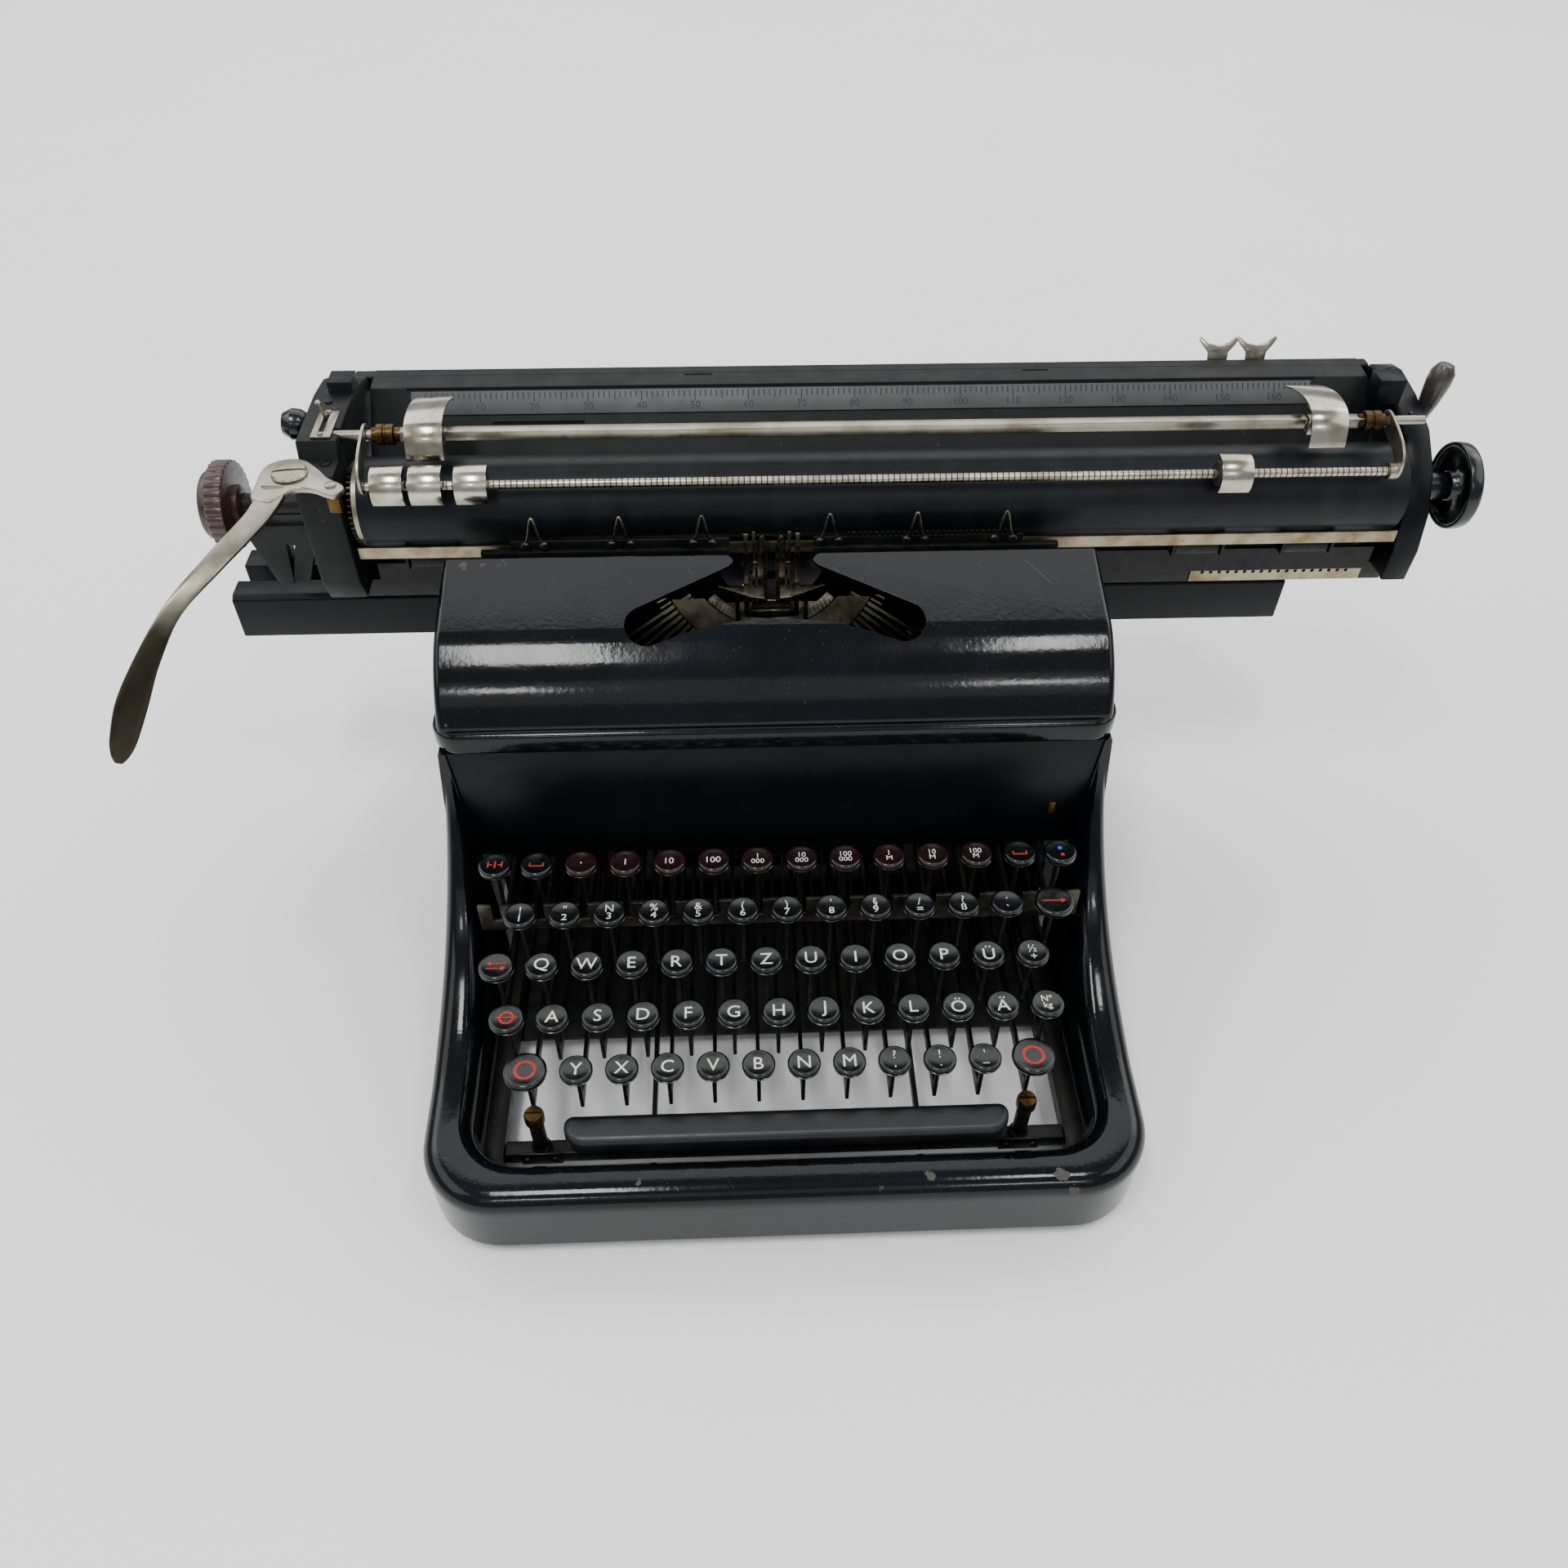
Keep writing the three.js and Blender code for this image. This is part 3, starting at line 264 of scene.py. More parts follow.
# Drawn brass, tarnished to a dull olive with bright rubbed places.
brassTarnished = finish("brassTarnished", {
    "colour": "#634e2f", "worn": "#352a1c", "rough": (0.32, 0.52), "blotch": 11, "metallic": 1.0,
    "grain": (0.6, 0.02), "dirt": ("#2b241a", 2.0, (0.62, 0.78))})
# Vulcanised platen rubber, ground round: hard, blue-black and silky, with faint rings left by paper.
rubberGround = finish("rubberGround", {
    "colour": "#0a0f12", "worn": "#11181c", "rough": (0.34, 0.46), "blotch": 26, "grain": (0.5, 0.015),
    "ior": 1.3,
    "stretch": (2.2, 0.6, 0.6), "dirt": ("#2a3236", 3.2, (0.72, 0.86))})
rubberFoot = finish("rubberMoulded", {
    "colour": "#0d0e0f", "worn": "#1a1a1a", "rough": (0.6, 0.8), "blotch": 9, "grain": (0.6, 0.04)})
# Compression-moulded key tops: polished black plastic with a little dust in the dish.
keyMoulded = finish("keyMoulded", {
    "colour": "#040607", "worn": "#090c0e", "rough": (0.14, 0.28), "blotch": 5, "grain": (0.9, 0.008),
    "dirt": ("#3d4244", 1.3, (0.74, 0.86))})
keyMaroon = finish("keyMouldedMaroon", {
    "colour": "#16070b", "worn": "#1f0c12", "rough": (0.14, 0.28), "blotch": 5, "grain": (0.9, 0.008),
    "dirt": ("#4a4244", 1.3, (0.74, 0.86))})
# Satin black lacquer on the space bar, dulled by thumbs.
barLacquer = finish("lacquerSatin", {
    "colour": "#07090b", "worn": "#0f1417", "rough": (0.34, 0.48), "blotch": 16, "grain": (0.8, 0.012)})
# Brown bakelite, moulded: satin, mottled red-brown.
bakeliteBrown = finish("bakeliteMoulded", {
    "colour": "#2a1714", "worn": "#3a241f", "rough": (0.26, 0.42), "blotch": 8, "grain": (0.7, 0.02),
    "ior": 1.55})
bakeliteGrey = finish("bakeliteGrey", {
    "colour": "#2b2725", "worn": "#38322f", "rough": (0.24, 0.38), "blotch": 8, "grain": (0.7, 0.02),
    "ior": 1.55})
# Filled lettering: paint wiped into the moulded characters, matte and slightly yellowed.
legendWhite = finish("legendPaintWhite", {
    "colour": "#d9d8cf", "worn": "#bdbbb0", "rough": (0.5, 0.65), "blotch": 2, "grain": (0.4, 0.005)})
legendRed = finish("legendPaintRed", {
    "colour": "#a5281f", "worn": "#85201a", "rough": (0.5, 0.65), "blotch": 2, "grain": (0.4, 0.005)})
legendBlue = finish("legendPaintBlue", {
    "colour": "#2b63b8", "worn": "#244f93", "rough": (0.5, 0.65), "blotch": 2, "grain": (0.4, 0.005)})
scaleInk = finish("scaleInkRed", {
    "colour": "#1f0f0d", "worn": "#160c0b", "rough": (0.5, 0.65), "blotch": 3, "grain": (0.4, 0.005)})
# Painted shadow: near-black matte sheets laid into the paper table's slots and the groove behind its scale,
# standing in for the shade inside them.
slotShadowPaint = finish("slotShadowPainted", {
    "colour": "#050606", "worn": "#0a0b0b", "rough": (0.8, 0.9), "blotch": 8, "grain": (0.8, 0.05)})
print("materials made:", len(bpy.data.materials))


# ---- floor and lights ----

def makeFloor():
    bm = bmesh.new()
    bmesh.ops.create_grid(bm, x_segments=8, y_segments=8, size=3.0)
    mesh = bpy.data.meshes.new("floor")
    bm.to_mesh(mesh)
    bm.free()
    floor = bpy.data.objects.new("floor", mesh)
    # Seamless paper roll: flat white, very slightly uneven.
    material, tree, shader, where = startMaterial("paperSeamless", {"Roughness": 0.9, "IOR": 1.4})
    shade = blendColour(tree, noise(tree, where, 300, 2.0), "#f4f4f3", "#fafaf9")
    tree.links.new(shade, shader.inputs["Base Color"])
    mesh.materials.append(material)
    bpy.context.collection.objects.link(floor)


# Each light: middle in millimetres, size across and deep, watts, and the way that it faces.
down = (0, 0, -1)
lights = {
    "leftWindow": {"at": (-361, -340, 1680), "size": (246, 640), "power": 14.0, "way": down},
    "rightWindow": {"at": (499, -290, 1680), "size": (158, 400), "power": 5.6, "way": down},
    "leftSill": {"at": (-592, -1900, 1680), "size": (208, 280), "power": 4.2, "way": down},
    "rightSill": {"at": (741, -2050, 1680), "size": (328, 260), "power": 5.8, "way": down},
    "backPanel": {"at": (0, 2215, 1750), "size": (5000, 2870), "power": 90.0, "way": down},
    "leftPanel": {"at": (-1800, 100, 1600), "size": (2600, 1200), "power": 20.0, "way": (1.0, 0, -0.85)},
    "rightPanel": {"at": (1800, 100, 1600), "size": (2600, 1200), "power": 20.0, "way": (-1.0, 0, -0.85)},
    "frontFill": {"at": (0, -1900, 1500), "size": (2400, 900), "power": 4.0, "way": (0, 1.0, -0.8)},
}


def makeLights():
    for name, light in lights.items():
        lamp = bpy.data.lights.new(name, "AREA")
        lamp.shape = "RECTANGLE"
        lamp.size, lamp.size_y = (s * mm for s in light["size"])
        lamp.energy = light["power"]
        holder = bpy.data.objects.new(name, lamp)
        start = toFrame @ Vector(light["at"])
        aim = Vector(light["way"]).to_track_quat("-Z", "Y")
        holder.matrix_world = Matrix.Translation(start) @ aim.to_matrix().to_4x4()
        bpy.context.collection.objects.link(holder)
    world = bpy.data.worlds.new("studio")
    world.use_nodes = True
    back = world.node_tree.nodes["Background"]
    back.inputs["Color"].default_value = linear("#f2f4f6")
    back.inputs["Strength"].default_value = 0.45
    bpy.context.scene.world = world


makeFloor()
makeLights()
print("stage set")


# ---- small modelling tools: every shape is a bmesh in millimetres ----

def smoothPath(points, steps=6):  # a rounded line through the points
    ends = [Vector(points[0]) * 2 - Vector(points[1])] + [Vector(p) for p in points]
    ends.append(Vector(points[-1]) * 2 - Vector(points[-2]))
    path = []
    for a, b, c, d in zip(ends, ends[1:], ends[2:], ends[3:]):
        for i in range(steps):
            t = i / steps
            path.append(((b * 2) + (c - a) * t + (a * 2 - b * 5 + c * 4 - d) * t ** 2
                         + (b * 3 - a - c * 3 + d) * t ** 3) / 2)
    path.append(Vector(points[-1]))
    return path


def arcPoints(x, y, radius, start, end, steps):  # angles in degrees
    angles = [math.radians(start + (end - start) * i / steps) for i in range(steps + 1)]
    return [(x + radius * math.cos(a), y + radius * math.sin(a)) for a in angles]


def roundedRect(x0, x1, y0, y1, front, back, steps=10):
    return (arcPoints(x1 - front, y0 + front, front, -90, 0, steps)
            + arcPoints(x1 - back, y1 - back, back, 0, 90, steps)
            + arcPoints(x0 + back, y1 - back, back, 90, 180, steps)
            + arcPoints(x0 + front, y0 + front, front, 180, 270, steps))


def flat(points, axis, level):  # points drawn across an axis, as places in space
    at = {"x": lambda a, b: (level, a, b), "y": lambda a, b: (a, level, b), "z": lambda a,
          b: (a, b, level)}[axis]
    return [Vector(at(*p)) for p in points]


def isVert(part):
    return isinstance(part, bmesh.types.BMVert)


def slab(points, axis, start, end):  # an outline pulled into a solid
    bm = bmesh.new()
    face = bm.faces.new([bm.verts.new(p) for p in flat(points, axis, start)])
    grown = bmesh.ops.extrude_face_region(bm, geom=[face])["geom"]
    way = Vector([(end - start) if a == axis else 0 for a in "xyz"])
    bmesh.ops.translate(bm, verts=[g for g in grown if isVert(g)], vec=way)
    bmesh.ops.recalc_face_normals(bm, faces=bm.faces)
    return bm


def block(x0, x1, y0, y1, z0, z1):
    bm = bmesh.new()
    bmesh.ops.create_cube(bm, size=1)
    bmesh.ops.scale(bm, vec=(x1 - x0, y1 - y0, z1 - z0), verts=bm.verts)
    bmesh.ops.translate(bm, vec=((x0 + x1) / 2, (y0 + y1) / 2, (z0 + z1) / 2), verts=bm.verts)
    return bm


def turned(profile, base, way, steps=48):  # a profile of radius and distance, spun about a line
    bm = bmesh.new()
    way = Vector(way).normalized()
    out = way.orthogonal().normalized()
    base = Vector(base)
    verts = [bm.verts.new(base + way * along + out * radius) for radius, along in profile]
    edges = [bm.edges.new(pair) for pair in zip(verts, verts[1:])]
    bmesh.ops.spin(bm, geom=verts + edges, cent=base, axis=way, angle=2 * math.pi, steps=steps,
                   use_merge=True)
    bmesh.ops.remove_doubles(bm, verts=bm.verts, dist=1e-4)
    bmesh.ops.recalc_face_normals(bm, faces=bm.faces)
    return bm


def soften(bm, width, segments=2, sharp=30, where=None):
    def wanted(edge):
        if len(edge.link_faces) != 2 or edge.calc_face_angle(0) < math.radians(sharp):
            return False
        return where is None or all(where(v.co) for v in edge.verts)
    edges = [e for e in bm.edges if wanted(e)]
    bmesh.ops.bevel(bm, geom=edges, offset=width, offset_type="OFFSET", segments=segments, profile=0.5,
                    affect="EDGES", clamp_overlap=True, material=-1)
    return bm


def joined(parts):
    whole = bmesh.new()
    for part in parts:
        mesh = bpy.data.meshes.new("part")
        part.to_mesh(mesh)
        part.free()
        whole.from_mesh(mesh)
        bpy.data.meshes.remove(mesh)
    return whole


def moved(bm, matrix):
    bm.transform(matrix)
    return bm


def piece(name, bm, body, slot, material, replaces=(), sharp=38):
    for edge in bm.edges:
        edge.smooth = len(edge.link_faces) == 2 and edge.calc_face_angle(0) < math.radians(sharp)
    for face in bm.faces:
        face.smooth = True
    bm.transform(toFrame)
    mesh = bpy.data.meshes.new(name)
    bm.to_mesh(mesh)
    bm.free()
    mesh.materials.append(material)
    made = bpy.data.objects.new(name, mesh)
    bpy.context.collection.objects.link(made)
    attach(made, body)
    if replaces:
        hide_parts(*replaces)
    return made


def cut(bm, tools):  # a solid with other solids taken away, both given as bmeshes in millimetres
    def asObject(part):
        mesh = bpy.data.meshes.new("cutting")
        part.to_mesh(mesh)
        part.free()
        holder = bpy.data.objects.new("cutting", mesh)
        bpy.context.collection.objects.link(holder)
        return holder
    work = asObject(bm)
    helpers = [asObject(tool) for tool in tools]
    for helper in helpers:
        modifier = work.modifiers.new("cut", "BOOLEAN")
        modifier.operation = "DIFFERENCE"
        modifier.solver = "EXACT"
        modifier.object = helper
    bpy.context.view_layer.update()
    mesh = bpy.data.meshes.new_from_object(work.evaluated_get(bpy.context.evaluated_depsgraph_get()))
    for holder in [work] + helpers:
        old = holder.data
        bpy.data.objects.remove(holder)
        bpy.data.meshes.remove(old)
    result = bmesh.new()
    result.from_mesh(mesh)
    bpy.data.meshes.remove(mesh)
    bmesh.ops.remove_doubles(result, verts=result.verts, dist=1e-3)
    return result


def nodeCopy(node, width=0.0, segments=2,
             sharp=30):  # a CAD node merged, its flats made whole, its edges softened
    bm = bmesh.new()
    bm.from_mesh(nodes[node].data)
    bm.transform(fromFrame)
    bmesh.ops.remove_doubles(bm, verts=bm.verts, dist=2e-3)
    bmesh.ops.dissolve_limit(bm, angle_limit=math.radians(1), verts=bm.verts, edges=bm.edges)
    if width:
        soften(bm, width, segments, sharp)
    return bm


def lettering(text, size, tall=0.1, spacing=0.8):
    curve = bpy.data.curves.new("lettering", "FONT")
    curve.body = text
    curve.size = size
    curve.extrude = tall
    curve.align_x = "CENTER"
    curve.align_y = "CENTER"
    curve.space_line = spacing
    curve.resolution_u = 3
    holder = bpy.data.objects.new("lettering", curve)
    bpy.context.collection.objects.link(holder)
    bpy.context.view_layer.update()
    mesh = bpy.data.meshes.new_from_object(holder.evaluated_get(bpy.context.evaluated_depsgraph_get()))
    bpy.data.objects.remove(holder)
    bpy.data.curves.remove(curve)
    bm = bmesh.new()
    bm.from_mesh(mesh)
    bpy.data.meshes.remove(mesh)
    bmesh.ops.remove_doubles(bm, verts=bm.verts, dist=1e-4)
    return bm


# ---- shell: one rolled band of pressed steel round the keyboard, rising along both cheeks ----

shell = {
    "half": 154, "inside": 134, "depth": 346, "front": 20, "corner": 33, "innerCorner": 22, "rearCorner": 14,
    "floor": 8, "rimTop": 44, "skirt": 33, "lip": 149.7, "cheekBack": 152, "roll": 8, "sheet": 2.4,
    "flare": 9,
    "hoodBack": 225, "rearTop": 125.6, "narrow": 8,
}


def cheekHeight(y):  # height of the band's top: level at the front, then one sweep up to the hood
    if y <= 34:
        return shell["rimTop"]
    if y >= shell["cheekBack"]:
        if y <= shell["hoodBack"]:
            return shell["lip"]
        return shell["rearTop"]
    start, bend, end = Vector((34, 44.0)), Vector((124, 44)), Vector((152, 131.7))
    t = 0.5
    for _ in range(30):  # the sweep is a curve with one handle, met by halving
        at = start * (1 - t) ** 2 + bend * 2 * t * (1 - t) + end * t ** 2
        t += (y - at.x) / 250
        t = min(max(t, 0), 1)
    return (start * (1 - t) ** 2 + bend * 2 * t * (1 - t) + end * t ** 2).y


def bandLoop(half, front, corner, rear, rearCorner, sideYs):
    right = arcPoints(half - corner, front + corner, corner, -90, 0, 12)
    right += [(half, y) for y in sideYs]
    right += arcPoints(half - rearCorner, rear - rearCorner, rearCorner, 0, 90, 6)
    return right + [(-x, y) for x, y in reversed(right)]


def makeShell():
    ys = [56 + i * 6 for i in range(13)] + [132, 136, 140, 143, 146, 148, 150, 151.9, 152.3, 160, 224.9,
                                            229, 300]
    bm = bmesh.new()
    outer = [bm.verts.new(p) for p in flat(bandLoop(
        shell["half"], 0, shell["corner"], shell["depth"], shell["rearCorner"], ys), "z", shell["floor"])]
    inner = [bm.verts.new(p) for p in flat(bandLoop(
        shell["inside"], shell["front"], shell["innerCorner"], shell["depth"] - 18, shell["rearCorner"],
        ys), "z", shell["floor"])]
    for vert in inner:  # behind the dark panel the wall is only the sheet
        if vert.co.y > 158:
            vert.co.x = math.copysign(shell["half"] - 9 - shell["sheet"], vert.co.x)
    for loop in (outer, inner):
        for a, b in zip(loop, loop[1:] + loop[:1]):
            bm.edges.new((a, b))
    bmesh.ops.bridge_loops(bm, edges=bm.edges[:])
    for level in ("skirt", "top"):
        ring = [f for f in bm.faces if abs(f.normal.z) > 0.5 and f.calc_center_median().z == max(
            g.calc_center_median().z for g in bm.faces)] if level == "skirt" else topFaces
        grown = bmesh.ops.extrude_face_region(bm, geom=ring)["geom"]
        topFaces = [g for g in grown if isinstance(g, bmesh.types.BMFace)]
        for vert in (g for g in grown if isVert(g)):
            vert.co.z = shell["skirt"] if level == "skirt" else cheekHeight(vert.co.y)
    bmesh.ops.recalc_face_normals(bm, faces=bm.faces)
    top = {v for f in topFaces for v in f.verts}
    rolled = [e for e in bm.edges if all(v in top and v.co.y < 152 for v in e.verts)
              and len([f for f in e.link_faces if f in topFaces]) == 1]
    bmesh.ops.bevel(bm, geom=rolled, offset=shell["roll"], offset_type="OFFSET", segments=7, profile=0.5,
                    affect="EDGES", clamp_overlap=True, material=-1)
    for vert in bm.verts:  # the cheeks lean in as they rise
        rise = min(max((vert.co.z - shell["rimTop"]) / (shell["lip"] - shell["rimTop"]), 0), 1)
        out = min(max((abs(vert.co.x) - shell["inside"]) / (shell["half"] - shell["inside"]), 0), 1)
        if abs(vert.co.x) > 110:
            lean = (shell["flare"] + shell["narrow"]) * out - shell["narrow"]
            vert.co.x -= math.copysign(1, vert.co.x) * rise * lean
    piece("shell_band", bm, "machine", "enamel", enamelBlack, ["body_shell"], sharp=50)
    panel = soften(slab([(-138.6, 84), (138.6, 84), (143.6, 149.4), (-143.6, 149.4)], "y", 153, 155.4), 0.5)
    piece("shell_panel", panel, "machine", "enamel", enamelPlain)
    tab = soften(block(123.4, 126.6, 152.2, 153.2, 104, 111), 0.3)
    piece("panel_tab", tab, "machine", "brass", brassTarnished)


makeShell()


# ---- hood ----

hood = {
    "half": 144, "front": 154, "back": 225, "lipTop": 161, "foot": 150, "wall": 2, "round": 9.5,
    "lobeX": 54.5, "lobeY": 185.5, "lobe": 9.6, "neck": 17,
}


def hoodOutline(inset):
    front = hood["front"] + inset
    back = hood["back"] - inset
    lift = hood["lipTop"]
    a, b = Vector((front, lift - inset)), Vector((front + 5, lift + 13 - inset))
    c, d = Vector((170 + inset, 187 - inset)), Vector((184, 191.4 - inset))
    curve = [a * (1 - t) ** 3 + b * 3 * t * (1 - t) ** 2 + c * 3 * t ** 2 * (1 - t) + d * t ** 3
             for t in (i / 18 for i in range(19))]
    points = [(front, hood["foot"] - (4 if inset else 0))] + [tuple(p) for p in curve]
    points += arcPoints(back - 5, 196.2 - inset, 5, 84, 0, 6)
    points.append((back + (4 if inset else 0), 186 if inset else hood["foot"]))
    if inset:
        points.append((back + 4, hood["foot"] - 4))
    return points


def openingOutline():
    x, y, r = hood["lobeX"], hood["lobeY"], hood["lobe"]
    neck, back = hood["neck"], hood["back"]
    right = smoothPath([(neck + 5, back - 2.5), (neck + 0.5, back - 7), (neck + 3, back - 11)], 5)[:-1]
    right = [(neck + 7, back + 6), (neck + 6, back)] + [tuple(p) for p in right]
    right += arcPoints(x, y, r, 68.4, -111.6, 18)
    middle = smoothPath([right[-1], (x - 20, y - 3.4), (x - 37, y + 0.4), (0, y + 1.8)], 6)[1:]
    right += [tuple(p) for p in middle]
    return right + [(-px, py) for px, py in reversed(right[:-1])]


def makeHood():
    outer = slab(hoodOutline(0), "x", -hood["half"], hood["half"])
    ends = [e for e in outer.edges if abs(e.verts[0].co.x - e.verts[1].co.x) < 1e-4
            and min(v.co.z for v in e.verts) > hood["foot"] - 1 and e.calc_face_angle(0) > 1]
    bmesh.ops.bevel(outer, geom=ends, offset=hood["round"], offset_type="OFFSET", segments=7, profile=0.5,
                    affect="EDGES", clamp_overlap=True, material=-1)
    wall = hood["wall"]
    inner = slab(hoodOutline(wall), "x", -hood["half"] + wall + 5, hood["half"] - wall - 5)
    opening = slab(openingOutline(), "z", 167, 215)
    skin = cut(outer, [inner, opening])
    made = piece("hood_skin", skin, "machine", "enamel", enamelBlack, ["top_cover"], sharp=40)
    edge = made.modifiers.new("edge", "BEVEL")
    edge.width = 0.45 * mm
    edge.segments = 2
    edge.limit_method = "ANGLE"
    edge.angle_limit = math.radians(50)
    flatten = made.modifiers.new("flatten", "WEIGHTED_NORMAL")
    flatten.keep_sharp = True
    flatten.weight = 100
    outline = roundedRect(-hood["half"] - 3, hood["half"] + 3, 151, 226, 12, 3)
    hole = roundedRect(-hood["half"] + 8, hood["half"] - 8, 160, 240, 3, 3, 3)
    lip = slab(outline, "z", hood["foot"], hood["lipTop"])
    soften(lip, 2.2, 4, 60)
    lip = cut(lip, [slab(hole, "z", 140, 170)])
    piece("hood_lip", lip, "machine", "enamel", enamelBlack, sharp=45)


makeHood()
print("shell and hood made")


# ---- keys: moulded tops with a dished face, tapering under-sides, and flat levers back to the fulcrum ----

keyShape = {
    "tilt": 4, "thick": 4, "dish": 0.55, "lever": 1.6, "leverHigh": 6, "tube": 2.8, "letter": 8.6,
    "small": 4.3, "legendLift": 0.05,
}

# Legends as text, or as drawn strokes: [kind, ...sizes in millimetres].
bars = [["bar", -3.3, -1.6, -2.6, 1.8], ["bar", 2.6, -1.6, 3.3, 1.8], ["bar", -0.4, -1.9, 0.4, 1.9],
        ["bar", -2.6, -0.3, -1.2, 0.3], ["bar", 1.2, -0.3, 2.6, 0.3]]
bracket = [["bar", -3.2, -1.7, 3.2, -1.0], ["bar", -3.2, -1.0, -2.6, 0.5], ["bar", 2.6, -1.0, 3.2, 0.5]]
arrow = [["bar", -5.0, -0.35, 3.4, 0.35], ["head", 5.2, 0, 2.2, 1]]
swap = [["bar", -2.2, 1.0, 4.2, 1.6], ["head", -4.2, 1.3, 2.0, -1], ["bar", -4.2, -1.6, 2.2, -1.0],
        ["head", 4.2, -1.3, 2.0, 1]]
lock = [["ring", 2.3, 3.3], ["bar", -4.4, -0.35, 4.4, 0.35]]
circle = [["ring", 3.5, 4.8]]
dots = [["dot", 0.2, 1.8, 1.0, "blue"], ["dot", 0.6, -2.2, 0.9, "red"]]
keyRows = {
    "tabulator_keys": [",", "1", "10", "100", "1\n000", "10\n000", "100\n000", "1\nM", "10\nM", "100\nM"],
    "number_keys": ["!\n1", "\"\n2", "N\n3", "%\n4", "&\n5", "(\n6", ")\n7", "'\n8", "§\n9", "/\n=",
                    "?\nß", "´\n`"],
    "upper_letter_keys": ["Q", "W", "E", "R", "T", "Z", "U", "I", "O", "P", "Ü", "½\n+"],
    "home_letter_keys": ["A", "S", "D", "F", "G", "H", "J", "K", "L", "Ö", "Ä", "Nº\nkg"],
    "lower_letter_keys": ["Y", "X", "C", "V", "B", "N", "M", "?\n,", "!\n.", "'\n–"],
    "tab_set_key": [bars], "tab_key_left": [bracket], "tab_key_right": [bracket], "ribbon_colour_key": [dots],
    "backspace_key": [arrow], "margin_release_key": [swap], "shift_lock_key": [lock],
    "shift_key_left": [circle], "shift_key_right": [circle],
}
keyBody = {
    "tabulator_keys": "tabulator_bank", "number_keys": "number_row", "upper_letter_keys": "upper_row",
    "home_letter_keys": "home_row", "lower_letter_keys": "lower_row", "tab_set_key": "tab_set",
    "tab_key_left": "tab_left", "tab_key_right": "tab_right", "ribbon_colour_key": "ribbon_colour",
    "backspace_key": "backspace", "margin_release_key": "margin_release", "shift_lock_key": "shift_lock",
    "shift_key_left": "shift_left", "shift_key_right": "shift_right",
}
keyRadius = {"backspace_key": 8.4, "margin_release_key": 7.4, "shift_lock_key": 7.4, "shift_key_left": 9,
             "shift_key_right": 9}


def drawn(strokes, colour):
    parts = []
    for stroke in strokes:
        kind, *sizes = stroke
        own = sizes.pop() if isinstance(sizes[-1], str) else "red"
        if own != colour:
            continue
        if kind == "bar":
            parts.append(block(sizes[0], sizes[2], sizes[1], sizes[3], -0.1, 0.1))
        elif kind == "head":
            x, y, size, way = sizes
            parts.append(slab([(x, y), (x - way * size, y + size * 0.62),
                               (x - way * size, y - size * 0.62)], "z", -0.1, 0.1))
        elif kind == "ring":
            inner, outer = sizes
            parts.append(turned([(inner, -0.1), (outer, -0.1), (outer, 0.1), (inner, 0.1), (inner, -0.1)],
                                (0, 0, 0), (0, 0, 1), 32))
        else:
            x, y, radius = sizes
            parts.append(turned([(0, -0.1), (radius, -0.1), (radius, 0.1), (0, 0.1)], (x, y, 0),
                                (0, 0, 1), 16))
    return parts


